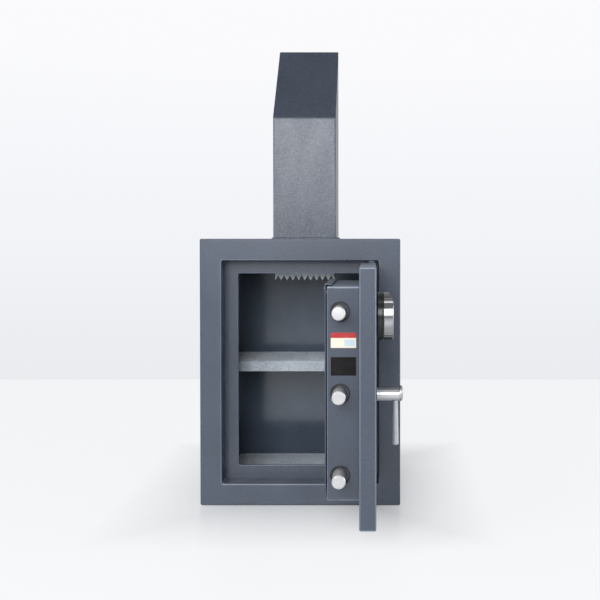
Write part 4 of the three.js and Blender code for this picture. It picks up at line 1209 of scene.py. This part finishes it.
@dataclass
class Cabinet:
    """The case, its back and the frame that the door shuts into.

    Attributes:
        edge: Easing of cut sheet edges in metres.
        rim: Width of the frame's outline whose edge gets no painted highlight.
    """

    edge: float = 0.0008
    rim: float = 0.004

    def build(self) -> None:
        """Shows the cabinet's sheet pieces and its hinge pins."""
        for node in ("outer_case", "back_plate"):
            skin(node, ENAMEL, self.edge)
        for node in ("door_frame", "jamb_plate"):
            # the frame's and jamb's rounded edges get a painted highlight
            painted_edge_highlights(skin(node, ENAMEL, self.edge), EDGE_HIGHLIGHT_ENAMEL, self.rim)
        for node in ("hinge_pin_upper", "hinge_pin_lower"):
            skin(node, GUIDE_ENAMEL, 0.0)


@dataclass
class Neck:
    """The deposit neck with its hood, weld, baffle and comb.

    Attributes:
        edge: Easing of cut plate edges in metres.
        bead: Radius of the weld bead.
        margin: Distance of its middle from the weld's outline over its radius.
        ripple: Distance between the bead's ripples.
        bend: Radius of the bead's turn round the neck's corners.
        teeth: Teeth of the comb.
        tooth_height: Height of a tooth.
        comb_drop: How far the teeth hang below the plate's solid.
    """

    edge: float = 0.0006
    bead: float = 0.0032
    margin: float = 1.15
    ripple: float = 0.0017
    bend: float = 0.004
    teeth: int = 10
    tooth_height: float = 0.0102
    comb_drop: float = 0.0012

    def build(self) -> None:
        """Shows the neck."""
        for node in ("neck_shell", "neck_back"):
            skin(node, NECK_ENAMEL, self.edge)
        # the hood plate gets the darker enamel, painted shade on its slope
        skin("hood_plate", HOOD_SHADED_ENAMEL, self.edge * 2)
        skin("chute_baffle", ZINC, THIN_EDGE)
        self.weld()
        self.comb()

    def weld(self) -> None:
        """Lays the bead round the neck's foot."""
        low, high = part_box("neck_weld")
        margin = self.bead * self.margin
        width, depth = high.x - low.x - 2 * margin, high.y - low.y - 2 * margin
        middle = (low + high) / 2
        path = [(middle.x + x, middle.y + y, low.z) for x, y in rectangle(width, depth, self.bend)]
        ring = [(step, (step + 1) % len(path)) for step in range(len(path))]
        bead = plain("neck_weld_bead", path, edges=ring)
        finish = NECK_ENAMEL.material()
        bead_tree().run(bead, Ripple_Pitch=self.ripple, Bead_Radius=self.bead, Finish=finish)
        dress(smooth(bead, 60.0), NECK_ENAMEL, "neck_weld", "neck_weld")

    def comb(self) -> None:
        """Makes the toothed plate at the neck's foot."""
        low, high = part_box("saw_comb")
        low.z -= self.comb_drop
        plate = plain("comb_plate", ())
        comb_tree().run(
            plate,
            Teeth=self.teeth,
            Width=high.x - low.x,
            Height=high.z - low.z,
            Tooth_Height=self.tooth_height,
            Thickness=high.y - low.y,
            Corner=((low.x + high.x) / 2, high.y, (low.z + high.z) / 2),
            Finish=COMB_STEEL.material(),
        )
        dress(plate, COMB_STEEL, "saw_comb", "saw_comb")


@dataclass
class Room:
    """The lined room with its shelf and coverings.

    Attributes:
        step: Spacing of the coverings' mesh in metres.
        waviness: How far a covering rises and falls.
        waves: How many times it does so in a metre, about.
        tuft_share: Tufts per square metre.
        tuft_height: Height of a tuft.
        tuft_foot: Radius of its foot over its height.
        lip_bend: Radius of the covering's bend over the shelf's lip, over its thickness.
        floor_share: Thickness of the floor's covering over that of its solid.
    """

    step: float = 0.004
    waviness: float = 0.0004
    waves: float = 40.0
    tuft_share: float = 330000.0
    tuft_height: float = 0.0012
    tuft_foot: float = 0.55
    lip_bend: float = 0.9
    floor_share: float = 0.85

    def build(self) -> None:
        """Shows the room."""
        skin("inner_liner", INSIDE_ENAMEL, 0.0)
        skin("shelf_pan", ZINC, THIN_EDGE)
        for node in ("shelf_bracket_left", "shelf_bracket_right"):
            skin(node, INSIDE_ENAMEL, THIN_EDGE)
        low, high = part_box("shelf_carpet")
        thick = high.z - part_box("shelf_pan")[1].z
        bend = thick * self.lip_bend
        profile = rounded([(low.y, low.z), (low.y, high.z), (high.y, high.z)], [0, bend, 0], 5)
        self.covering("shelf_covering", profile, (low.x, high.x), thick, "shelf_carpet")
        low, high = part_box("floor_carpet")
        profile = [(low.y, high.z), (high.y, high.z)]
        thick = (high.z - low.z) * self.floor_share
        self.covering("floor_covering", profile, (low.x, high.x), thick, "floor_carpet")

    def covering(
        self, name: str, profile: Sequence[Point2], span: Point2, thick: float, node: str
    ) -> None:
        """Lays a covering of pile along a profile.

        Args:
            name: The covering's name.
            profile: Its outer face in y and z, front to back.
            span: Its ends in x.
            thick: Its thickness.
            node: The CAD node that it is shown for.
        """
        line = spaced(profile, self.step)
        width = span[1] - span[0]
        count = max(2, round(width / self.step))
        points = []
        for depth, (y, z) in enumerate(line):
            inside = 0 < depth < len(line) - 1
            for column in range(count + 1):
                x = span[0] + width * column / count
                spot = Vector((x * self.waves, y * self.waves, z * self.waves))
                fall = noise.noise(spot) * self.waviness
                points.append((x, y, z - abs(fall) if inside else z))
        starts = [depth * (count + 1) + column for depth in range(len(line) - 1) for column in range(count)]
        face = plain(name, points, [(at, at + 1, at + count + 2, at + count + 1) for at in starts])
        if face.data.polygons[-1].normal.z < 0:
            face.data.flip_normals()
        tufts = link(f"{name}_pile", face.data.copy())
        pile_tree().run(
            tufts,
            Tufts_per_Square_Metre=self.tuft_share,
            Tuft_Height=self.tuft_height,
            Tuft_Radius=self.tuft_height * self.tuft_foot,
            Finish=PILE.material(),
        )
        solid = face.modifiers.new("thickness", "SOLIDIFY")
        solid.thickness = thick
        solid.offset = -1.0
        settle(face)
        dress(smooth(face, 50.0), PILE, node, node)
        dress(tufts, PILE, node)


def spaced(line: Sequence[Point2], step: float) -> list[Point2]:
    """Adds points to a line so that none lie further apart than a step.

    Args:
        line: The line.
        step: The largest distance.

    Returns:
        The finer line.
    """
    fine = [line[0]]
    for start, end in zip(line, line[1:]):
        parts = max(1, math.ceil(math.dist(start, end) / step))
        for part in range(1, parts + 1):
            share = part / parts
            fine.append((start[0] + (end[0] - start[0]) * share, start[1] + (end[1] - start[1]) * share))
    return fine


@dataclass
class Door:
    """The slab with its bolt box, hinge bushes, dead bar, lock and blank stickers.

    Attributes:
        edge: Easing of plate edges in metres.
        screw_inset: Distance of the cover's screws from the box's edges.
        lock_share: Distance of the lock's screws from its case's edges, over that.
        lug_drop: Distance of the cover's lugs from its top.
        film: Thickness of a sticker.
        sticker_width: Width of both stickers.
        sticker_inset: Distance of the stickers from the box's left edge.
        upper_height: Height of the upper sticker.
        upper_centre: Height of its middle over the floor.
        lower_height: Height of the lower sticker.
        lower_centre: Height of its middle over the floor.
        hole_radius: Radius of the holes that the bolts pass.
        hole_shift: How far a hole's middle lies from its bolt's, toward the slab.
        edging: Width and depth of the black ring in those holes, painted shade for the gap round the bolt.
        edging_gap: Gap between it and the hole.
        edging_sink: How far its face lies behind the box's.
        edging_round: Size of its chamfer.
        film_corner: Radius of a sticker's corners.
        band_share: Height of the red band over the upper sticker's.
        patch_share: Width and height of the blue patch over the upper sticker's.
        patch_shift: The patch's place from the sticker's middle, in the same shares.
        over: How many films a print on a sticker is lifted.
    """

    edge: float = 0.0008
    screw_inset: float = 0.011
    lock_share: float = 0.7
    lug_drop: float = 0.0074
    film: float = 0.00025
    sticker_width: float = 0.0408
    sticker_inset: float = 0.0066
    upper_height: float = 0.0245
    upper_centre: float = 0.3438
    lower_height: float = 0.0298
    lower_centre: float = 0.3018
    hole_radius: float = 0.0165
    hole_shift: float = 0.001
    edging: Point2 = (0.0021, 0.0022)
    edging_gap: float = 0.00015
    edging_sink: float = 0.0001
    edging_round: float = 0.0003
    film_corner: float = 0.0008
    band_share: float = 0.345
    patch_share: Point2 = (0.4, 0.44)
    patch_shift: Point2 = (0.24, 0.17)
    over: float = 0.6

    def build(self) -> None:
        """Shows the door."""
        for node in ("door_slab", "bolt_box", "bolt_box_cover"):
            # the rounded edges of slab, box and cover get a painted highlight
            painted_edge_highlights(skin(node, ENAMEL, self.edge), EDGE_HIGHLIGHT_ENAMEL)
        for node, finish in (("dead_bar", ENAMEL), ("bolt_guide", GUIDE_ENAMEL), ("lock_case", ZINC)):
            skin(node, finish, self.edge)
        for node in ("hinge_bush_upper", "hinge_bush_lower", "lock_bolt"):
            skin(node, BRONZE, 0.0)
        for node in ("guide_stud_lower", "guide_stud_upper"):
            skin(node, DRAWN_STEEL, 0.0)
        # black rings of painted shade in the bolt holes
        for node in ("bolt_upper", "bolt_middle", "bolt_lower"):
            self.hole_edging(node)
        self.cover_screws()
        self.lock_screws()
        self.stickers()

    def hole_edging(self, bolt: str) -> None:
        """Lines the hole that a bolt passes with a thin black ring, painted shade for the shadowed gap round
        the bolt.

        Args:
            bolt: The bolt's CAD node.
        """
        low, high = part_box(bolt)
        width, depth = self.edging
        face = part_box("bolt_box")[0].y + self.edging_sink
        centre = ((low.x + high.x) / 2 + self.hole_shift, face, (low.z + high.z) / 2)
        outer, ease = self.hole_radius - self.edging_gap, self.edging_round
        inner = outer - width
        disc = [(0.0, 0.0), (outer - ease, 0.0), (outer, ease), (outer, depth), (0.0, depth)]
        bore = [(0.0, -depth), (inner, -depth), (inner, 2 * depth), (0.0, 2 * depth)]
        ring = turned(f"{bolt}_edging", disc, Axis.Y, centre, FINE_SIDES)
        combined(ring, turned("edging_bore", bore, Axis.Y, centre, FINE_SIDES), "DIFFERENCE")
        dress(smooth(ring, ROUND_ANGLE), HOLE_SHADE_RING, "bolt_box")

    def cover_screws(self) -> None:
        """Drives the flush screws over the cover's spacers, and the pan heads at its upper corners."""
        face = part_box("bolt_box_cover")[0].x
        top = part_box("bolt_box_cover")[1].z - self.lug_drop
        low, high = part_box("bolt_box")
        near, far = low.y + self.screw_inset, high.y - self.screw_inset
        rows = (low.z + self.screw_inset, high.z - self.screw_inset)
        points = [Vector((face, y, z)) for y in (near, (near + far) / 2, far) for z in rows]
        flush = Screws(head_radius=0.0034, head_height=0.0007, finish=ENAMEL)
        flush.drive("cover_screws", points, self.inward(), "bolt_box_cover", 7)
        lugs = [Vector((face, y, top)) for y in (low.y + self.lug_drop, high.y - self.lug_drop)]
        pan = Screws(head_radius=0.0038, head_height=0.0021, finish=ENAMEL)
        pan.drive("cover_lugs", lugs, self.inward(), "bolt_box_cover", 8)

    def lock_screws(self) -> None:
        """Drives the screws at the lock case's corners."""
        low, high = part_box("lock_case")
        inset = self.screw_inset * self.lock_share
        rows = (low.z + inset, high.z - inset)
        points = [Vector((low.x, y, z)) for y in (low.y + inset, high.y - inset) for z in rows]
        screws = Screws(head_radius=0.003, head_height=0.0018)
        screws.drive("lock_screws", points, self.inward(), "lock_case", 9)

    def inward(self) -> Matrix:
        """Gives the matrix whose +Z faces out of the door's inner side."""
        return Axis.X.value @ Matrix.Rotation(math.pi, 4, "X")

    def sticker(self, name: str, finish: Finish, centre: Point2, size: Point2, lift: float) -> None:
        """Lays one film on the box's near face.

        Args:
            name: The film's name.
            finish: Its finish.
            centre: Its middle in x and z.
            size: Its width and height.
            lift: How many films it lies on.
        """
        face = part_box("bolt_box")[0].y
        place = Matrix.Translation((centre[0], face - self.film * lift, centre[1])) @ FACING_FRONT
        film = prism(name, rectangle(*size, self.film_corner, 3), self.film, place)
        dress(film, finish, "bolt_box")

    def stickers(self) -> None:
        """Lays the two blank stickers, the upper with a red band and a pale blue patch."""
        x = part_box("bolt_box")[0].x + self.sticker_inset + self.sticker_width / 2
        width, height = self.sticker_width, self.upper_height
        band = height * self.band_share
        patch = (width * self.patch_share[0], height * self.patch_share[1])
        self.sticker("sticker_upper", CREAM_FILM, (x, self.upper_centre), (width, height), 0)
        band_at = (x, self.upper_centre + height / 2 - band / 2)
        self.sticker("sticker_upper_band", RED_FILM, band_at, (width, band), self.over)
        patch_at = (x + width * self.patch_shift[0], self.upper_centre - height * self.patch_shift[1])
        self.sticker("sticker_upper_patch", BLUE_FILM, patch_at, patch, self.over)
        self.sticker("sticker_lower", BLACK_FILM, (x, self.lower_centre), (width, self.lower_height), 0)


@dataclass
class Boltwork:
    """The three bolts with their nuts, and the carriage that draws them.

    Attributes:
        shank: Length of a bolt's full-size part in metres.
        tail_radius: Radius of its tail.
        chamfer: Size of the chamfer on its end.
        nut_length: Length of the nut on its tail.
        nut_across: Width of the nut across its flats.
        past_nut: How far the tail stands past the nut.
    """

    shank: float = 0.11
    tail_radius: float = 0.006
    chamfer: float = 0.0014
    nut_length: float = 0.006
    nut_across: float = 0.019
    past_nut: float = 0.0012

    def build(self) -> None:
        """Shows the boltwork."""
        for node in ("bolt_upper", "bolt_middle", "bolt_lower"):
            self.bolt(node)
        skin("bolt_carriage", GUIDE_ENAMEL)

    def bolt(self, node: str) -> None:
        """Turns one bolt.

        Args:
            node: Its CAD node.
        """
        low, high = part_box(node)
        radius = (high.x - low.x) / 2
        length = high.y - low.y
        tail = self.tail_radius
        corners = [
            (0.0, 0.0),
            (radius - self.chamfer, 0.0),
            (radius, self.chamfer),
            (radius, self.shank),
            (tail, self.shank),
            (tail, length),
            (0.0, length),
        ]
        profile = rounded(corners, [0, 0.0003, 0.0005, 0.0004, 0, 0.0005, 0], 4)
        centre = (low.x + radius, low.y, (low.z + high.z) / 2)
        bolt = turned(f"{node}_bar", profile, Axis.Y, centre, FINE_SIDES)
        dress(bolt, STEEL, node, node)
        reach = self.nut_across / math.sqrt(3)
        turns = [math.pi / 3 * step for step in range(6)]
        hexagon = [(reach * math.cos(turn), reach * math.sin(turn)) for turn in turns]
        start = length - self.nut_length - self.past_nut
        place = Matrix.Translation((centre[0], low.y + start, centre[2])) @ Axis.Y.value
        nut = prism(f"{node}_nut", hexagon, self.nut_length, place)
        dress(weighted(smooth(eased(nut, 0.0005, 2), BOXY_ANGLE)), DRAWN_STEEL, node)


@dataclass
class Handle:
    """The hub with its raised cap, the lever that hangs from it, the spindle and the cam.

    Attributes:
        hub_radius: Radius of the barrel in metres.
        cap_length: Length of the cap.
        cap_rise: Height of the cap's middle over the barrel's.
        ease: Size of the barrel's chamfer.
        lever_root: Radius of the lever at the hub.
        lever_tip: Radius of the lever near its end.
        lever_neck: How far under the hub's axis the lever starts to widen.
    """

    hub_radius: float = 0.0109
    cap_length: float = 0.0052
    cap_rise: float = 0.002
    ease: float = 0.0008
    lever_root: float = 0.0044
    lever_tip: float = 0.0056
    lever_neck: float = 0.011

    def build(self) -> None:
        """Shows the handle."""
        low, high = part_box("handle_hub")
        cap_radius = (high.y - low.y) / 2
        axis_y = (low.y + high.y) / 2
        axis_z = high.z - cap_radius - self.cap_rise
        self.hub(low.x, high.x, (axis_y, axis_z), cap_radius)
        self.lever(axis_z)
        skin("handle_spindle", DRAWN_STEEL, 0.0)
        skin("drive_cam", ZINC)

    def hub(self, start: float, end: float, axis: Point2, cap_radius: float) -> None:
        """Turns the barrel and its cap and joins them.

        Args:
            start: The barrel's near end in x.
            end: The cap's far end in x.
            axis: The barrel's axis in y and z.
            cap_radius: Radius of the cap.
        """
        length = end - start - self.cap_length
        radius, ease, overlap = self.hub_radius, self.ease, length + 0.001
        corners = [(0, 0), (radius - ease, 0), (radius, ease), (radius, overlap), (0, overlap)]
        profile = rounded(corners, [0, 0, ease, 0, 0], 4)
        barrel = turned("handle_hub_body", profile, Axis.X, (start, *axis), FINE_SIDES)
        corners = [
            (0, 0),
            (cap_radius - 0.0004, 0),
            (cap_radius, self.cap_length * 0.4),
            (cap_radius - 0.0008, self.cap_length * 0.78),
            (cap_radius * 0.72, self.cap_length),
            (0, self.cap_length),
        ]
        profile = rounded(corners, [0, 0.0006, 0.002, 0.0016, 0.004, 0], 6)
        centre = (start + length, axis[0], axis[1] + self.cap_rise)
        cap = turned("hub_cap", profile, Axis.X, centre, FINE_SIDES)
        combined(barrel, cap, "UNION")
        dress(weighted(smooth(barrel, ROUND_ANGLE)), CHROME, "handle_hub", "handle_hub")

    def lever(self, axis_z: float) -> None:
        """Turns the lever.

        Args:
            axis_z: Height of the hub's axis.
        """
        low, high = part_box("handle_lever")
        length = axis_z - low.z
        tip, root = self.lever_tip, self.lever_root
        corners = [
            (0.0, -length),
            (tip, -length),
            (tip, -length + tip * 1.2),
            (root, -self.lever_neck),
            (root, 0.0),
            (0.0, 0.0),
        ]
        profile = rounded(corners, [0, tip * 0.4, 0.002, 0.004, 0, 0], 8)
        centre = ((low.x + high.x) / 2, (low.y + high.y) / 2, axis_z)
        lever = turned("handle_lever_bar", profile, Axis.Z, centre, 64)
        dress(lever, LEVER_CHROME, "handle_lever", "handle_lever")


@dataclass
class Keypad:
    """The keypad: base ring, chromed shell, panel, keys with digits, and a status light.

    Attributes:
        wall: Thickness of the shell in metres.
        facet_run: How far down the front the top facet reaches.
        facet_fall: How far the facet cuts back.
        key_edge: Easing of the keys' edges.
        digit_height: Height of a digit.
        type_share: Size of the type over that.
        ink: Thickness of the print.
        ink_lift: How far it stands off the key.
        light_radius: Radius of the status light.
        light_height: Its height.
        light_sink: How much of that lies in the shell.
        groove: Depth of the base's groove.
        lip: How far the shell reaches over the panel.
        window_corner: Radius of the window's corners.
        window_cut: How far behind the shell's face the window's cut starts, and its length.
        sides: Steps round the base and the shell.
    """

    wall: float = 0.0022
    facet_run: float = 0.0153
    facet_fall: float = 0.0076
    key_edge: float = 0.0002
    digit_height: float = 0.0056
    type_share: float = 1.35
    ink: float = 0.00006
    ink_lift: float = 0.00002
    light_radius: float = 0.0014
    light_height: float = 0.0009
    light_sink: float = 0.0002
    groove: float = 0.0008
    lip: float = 0.0011
    window_corner: float = 0.0053
    window_cut: Point2 = (0.006, 0.01)
    sides: int = 128

    def build(self) -> None:
        """Shows the keypad."""
        self.base()
        self.shell()
        skin("keypad_panel", BLACK_PLASTIC, THIN_EDGE)
        for node in SLOT_OF:
            if node.startswith("key_"):
                skin(node, KEY_RUBBER, self.key_edge)
                self.digit(node)

    def base(self) -> None:
        """Turns the black base with its fine groove."""
        low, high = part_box("keypad_base")
        radius = (high.y - low.y) / 2
        depth = high.x - low.x
        start, floor = depth * 0.72, radius - self.groove
        corners = [
            (0, 0),
            (radius - 0.001, 0),
            (radius, 0.0025),
            (radius, start),
            (floor, start + 0.0004),
            (floor, start + 0.001),
            (radius, start + 0.0014),
            (radius, depth),
            (0, depth),
        ]
        profile = rounded(corners, [0, 0.0008, 0.0015, 0, 0, 0, 0, 0.0008, 0], 4)
        centre = (low.x, (low.y + high.y) / 2, (low.z + high.z) / 2)
        ring = turned("keypad_base_ring", profile, Axis.X, centre, self.sides)
        dress(ring, BLACK_PLASTIC, "keypad_base", "keypad_base")

    def shell(self) -> None:
        """Turns the shell, cuts its top facet, hollows it and opens its window."""
        low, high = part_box("keypad_shell")
        radius = (high.y - low.y) / 2
        depth = high.x - low.x
        middle = Vector((low.x, (low.y + high.y) / 2, (low.z + high.z) / 2))
        corners = [(0, 0), (radius, 0), (radius, depth), (0, depth)]
        profile = rounded(corners, [0, 0.0005, 0.0014, 0], 6)
        shell = turned("keypad_shell_cup", profile, Axis.X, middle, self.sides)
        slope = self.facet_fall / self.facet_run
        self.cut_facet(shell, middle.y, high, 0.0, slope)
        inner, end = radius - self.wall, depth - self.wall
        room = [(0, -0.001), (inner, -0.001), (inner, end), (0, end)]
        hollow = turned("shell_room", room, Axis.X, middle, FINE_SIDES)
        self.cut_facet(hollow, middle.y, high, self.wall * 1.1, slope)
        combined(shell, hollow, "DIFFERENCE")
        panel_low, panel_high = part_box("keypad_panel")
        size = [panel_high[axis] - panel_low[axis] - 2 * self.lip for axis in (1, 2)]
        centre = (panel_low + panel_high) / 2
        behind, length = self.window_cut
        place = Matrix.Translation((high.x - behind, centre.y, centre.z)) @ FACING_RIGHT
        window = prism("window", rectangle(*size, self.window_corner), length, place)
        combined(shell, window, "DIFFERENCE")
        dress(weighted(smooth(shell, 30.0)), SHELL_CHROME, "keypad_shell", "keypad_shell")
        rim, top = self.light_radius, self.light_height
        dome = rounded([(0, 0), (rim, 0), (rim, top), (0, top)], [0, 0, 0.0008, 0])
        spot = (high.x - self.light_sink, centre.y, (panel_high.z + high.z - self.facet_run) / 2)
        dress(turned("status_light", dome, Axis.X, spot, 24), GREEN_LENS, "keypad_shell")

    def cut_facet(
        self, piece: Piece, middle_y: float, high: Vector, inset: float, slope: float
    ) -> None:
        """Cuts the slanted facet at the shell's top.

        Args:
            piece: What is cut.
            middle_y: Middle of the shell across.
            high: The shell's highest corner.
            inset: How far inside the outer face the cut lies.
            slope: The facet's fall over its run.
        """
        reach, half_width, past = 0.03, 0.06, 0.001
        foot = (high.x + past - inset, high.z - self.facet_run - past / slope)
        head = (high.x - self.facet_fall - slope * reach - inset, high.z + reach)
        outline = [foot, (high.x + reach, foot[1]), (high.x + reach, head[1]), head]
        place = Matrix(((1, 0, 0, 0), (0, 0, 1, middle_y - half_width), (0, 1, 0, 0), (0, 0, 0, 1)))
        combined(piece, prism("facet", outline, 2 * half_width, place), "DIFFERENCE")

    def digit(self, node: str) -> None:
        """Prints a key's sign on its face.

        Args:
            node: The key's CAD node.
        """
        sign = {"key_left": "*", "key_right": "#"}.get(node, node.removeprefix("key_"))
        low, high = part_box(node)
        curve = bpy.data.curves.new(f"{node}_print", "FONT")
        curve.body = sign
        curve.size = self.digit_height * self.type_share
        curve.extrude = self.ink
        curve.align_x = "CENTER"
        curve.align_y = "CENTER"
        text = link(f"{node}_text", curve)
        bpy.context.view_layer.update()
        solved = text.evaluated_get(bpy.context.evaluated_depsgraph_get())
        mesh = bpy.data.meshes.new_from_object(solved)
        bpy.data.objects.remove(text)
        middle = (low + high) / 2
        mesh.transform(Matrix.Translation((high.x + self.ink_lift, middle.y, middle.z)) @ FACING_RIGHT)
        dress(link(f"{node}_print", mesh), DIGIT_INK, node)


@dataclass(frozen=True)
class Lamp:
    """A rectangular soft lamp.

    Attributes:
        name: Its name.
        place: Where it hangs in metres.
        target: What it faces.
        size: Its width and height.
        watts: Its power.
    """

    name: str
    place: Point3
    target: Point3
    size: Point2
    watts: float

    def hang(self) -> None:
        """Hangs it."""
        light = bpy.data.lights.new(self.name, "AREA")
        light.shape = "RECTANGLE"
        light.size, light.size_y = self.size
        light.energy = self.watts
        lamp = link(self.name, light)
        lamp.location = self.place
        way = Vector(self.target) - Vector(self.place)
        lamp.rotation_euler = way.to_track_quat("-Z", "Y").to_euler()


@dataclass
class Studio:
    """Pale floor and backdrop, soft lamps and the camera at the photograph's angle.

    Attributes:
        eye: The camera's place in metres.
        pitch: Its angle from straight down in degrees.
        lens: Its focal length in millimetres.
        sensor: Width of its sensor in millimetres.
        shift: Its frame's shift.
        floor_size: Half the floor's width.
        floor_sink: How far the floor lies under the safe.
        fold: Distance of the fold where the floor turns into the backdrop.
        fold_width: Width of that fold.
        backdrop: The backdrop's tones at the fold, at eye level and high up.
        high_up: Sine of the height over the horizon where the last is reached.
        surroundings: Brightness of what lies round the set, by the sine of its height over the horizon.
        paper: Tone of the floor's paper.
        white: Tone of the floor where its light is even.
        pool: Start and end of the change from paper to even light, in metres from the middle.
        pool_share: Share of even light at both.
        lamps: The lamps.
    """

    eye: Point3 = (0.13784, -1.6678, 0.50172)
    pitch: float = 89.15
    lens: float = 48.5
    sensor: float = 36.0
    shift: Point2 = (-0.121, -0.0766)
    floor_size: float = 30.0
    floor_sink: float = 0.0005
    fold: float = 1.27
    fold_width: float = 0.02
    backdrop: tuple[Colour, ...] = (screen(234, 235, 239), screen(241, 243, 247), screen(250, 250, 252))
    high_up: float = 0.22
    surroundings: tuple[Point2, ...] = (
        (0.0, 0.9), (0.16, 0.85), (0.57, 0.42), (0.92, 0.36), (0.98, 0.13), (1.0, 0.13)
    )
    paper: Colour = (0.77, 0.778, 0.79, 1.0)
    white: Colour = (0.935, 0.95, 0.967, 1.0)
    pool: Point2 = (0.14, 0.36)
    pool_share: Point2 = (0.08, 0.86)
    lamps: tuple[Lamp, ...] = (
        Lamp("front_softbox", (-0.35, -2.75, 1.42), (0.0, -0.2, 0.4), (1.5, 1.36), 54.0),
        Lamp("left_softbox", (-1.5, -1.5, 1.7), (0.0, -0.2, 0.4), (0.7, 1.0), 22.0),
        Lamp("right_strip", (2.4, -0.8, 0.9), (0.1, -0.2, 0.4), (0.7, 1.8), 26.0),
        Lamp("top_strip", (0.1, -0.98, 2.6), (0.1, -0.2, 0.4), (2.2, 0.3), 5.0),
    )

    def build(self) -> None:
        """Sets the studio."""
        self.floor()
        self.world()
        for lamp in self.lamps:
            lamp.hang()
        camera = bpy.data.cameras.new("camera")
        camera.lens = self.lens
        camera.sensor_width = self.sensor
        camera.shift_x, camera.shift_y = self.shift
        stand = link("camera", camera)
        stand.location = self.eye
        stand.rotation_euler = (math.radians(self.pitch), 0.0, 0.0)
        bpy.context.scene.camera = stand
        bpy.context.scene.view_settings.view_transform = "Standard"

    def floor(self) -> None:
        """Lays the floor, which the camera sees as the backdrop past the fold on all sides."""
        half, low = self.floor_size, -self.floor_sink
        corners = [(-half, -half, low), (half, -half, low), (half, half, low), (-half, half, low)]
        floor = plain("studio_floor", corners, [range(4)])
        material = bpy.data.materials.new("studio_floor")
        graph = emptied(material)
        parts = graph.parts(graph.place())
        span = graph.maths("MAXIMUM", graph.maths("ABSOLUTE", parts[0]), graph.maths("ABSOLUTE", parts[1]))
        stand = -self.eye[1]
        nearness = graph.maths("DIVIDE", self.fold + stand, graph.maths("ADD", span, stand))
        tone = graph.between(nearness, self.backdrop[1], self.backdrop[0])
        paper = graph.surface(Base_Color=self.paper, Roughness=0.26, Specular_IOR_Level=0.6)
        seen = graph.seen()
        lit = graph.maths("MULTIPLY", graph.spread(span, *self.pool, *self.pool_share), seen)
        near = graph.blend(lit, paper, graph.glow(self.white))
        fold = graph.spread(span, self.fold, self.fold + self.fold_width)
        past = graph.maths("MULTIPLY", fold, seen)
        shown = graph.blend(past, near, graph.glow(tone))
        graph.node("ShaderNodeOutputMaterial", {"Surface": shown})
        floor.data.materials.append(material)

    def world(self) -> None:
        """Sets the backdrop's tones for the camera, and the surroundings' light for the rest."""
        world = bpy.data.worlds.new("studio")
        bpy.context.scene.world = world
        graph = emptied(world)
        height = graph.parts(graph.node("ShaderNodeTexCoord").outputs["Generated"])[2]
        wall = graph.between(graph.spread(height, 0.0, self.high_up), self.backdrop[1], self.backdrop[2])
        ramp = graph.node("ShaderNodeValToRGB", {"Fac": height})
        points = ramp.color_ramp.elements
        points.remove(points[0])
        for place, level in self.surroundings:
            points.new(place).color = (level * 0.97, level * 0.985, level, 1.0)
        colour = graph.between(graph.seen(), ramp.outputs[0], wall)
        light = graph.node("ShaderNodeBackground", {"Color": colour, "Strength": 1.0})
        graph.node("ShaderNodeOutputWorld", {"Surface": light.outputs[0]})


def finish_frame() -> None:
    """Gives every CAD node the finish of its slot, so that none is left plain."""
    for node, slot in SLOT_OF.items():
        mesh = frame["nodes"][node].data
        mesh.materials.clear()
        mesh.materials.append(CAD_FINISH[slot].material())


def main() -> None:
    """Builds the sub-assemblies in order and sets the studio."""
    logging.basicConfig(level=logging.INFO, format="%(name)s: %(message)s")
    finish_frame()
    for part in (Cabinet(), Neck(), Room(), Door(), Boltwork(), Handle(), Keypad(), Studio()):
        LOG.info("building %s", type(part).__name__)
        part.build()


if __name__ == "__main__":
    main()
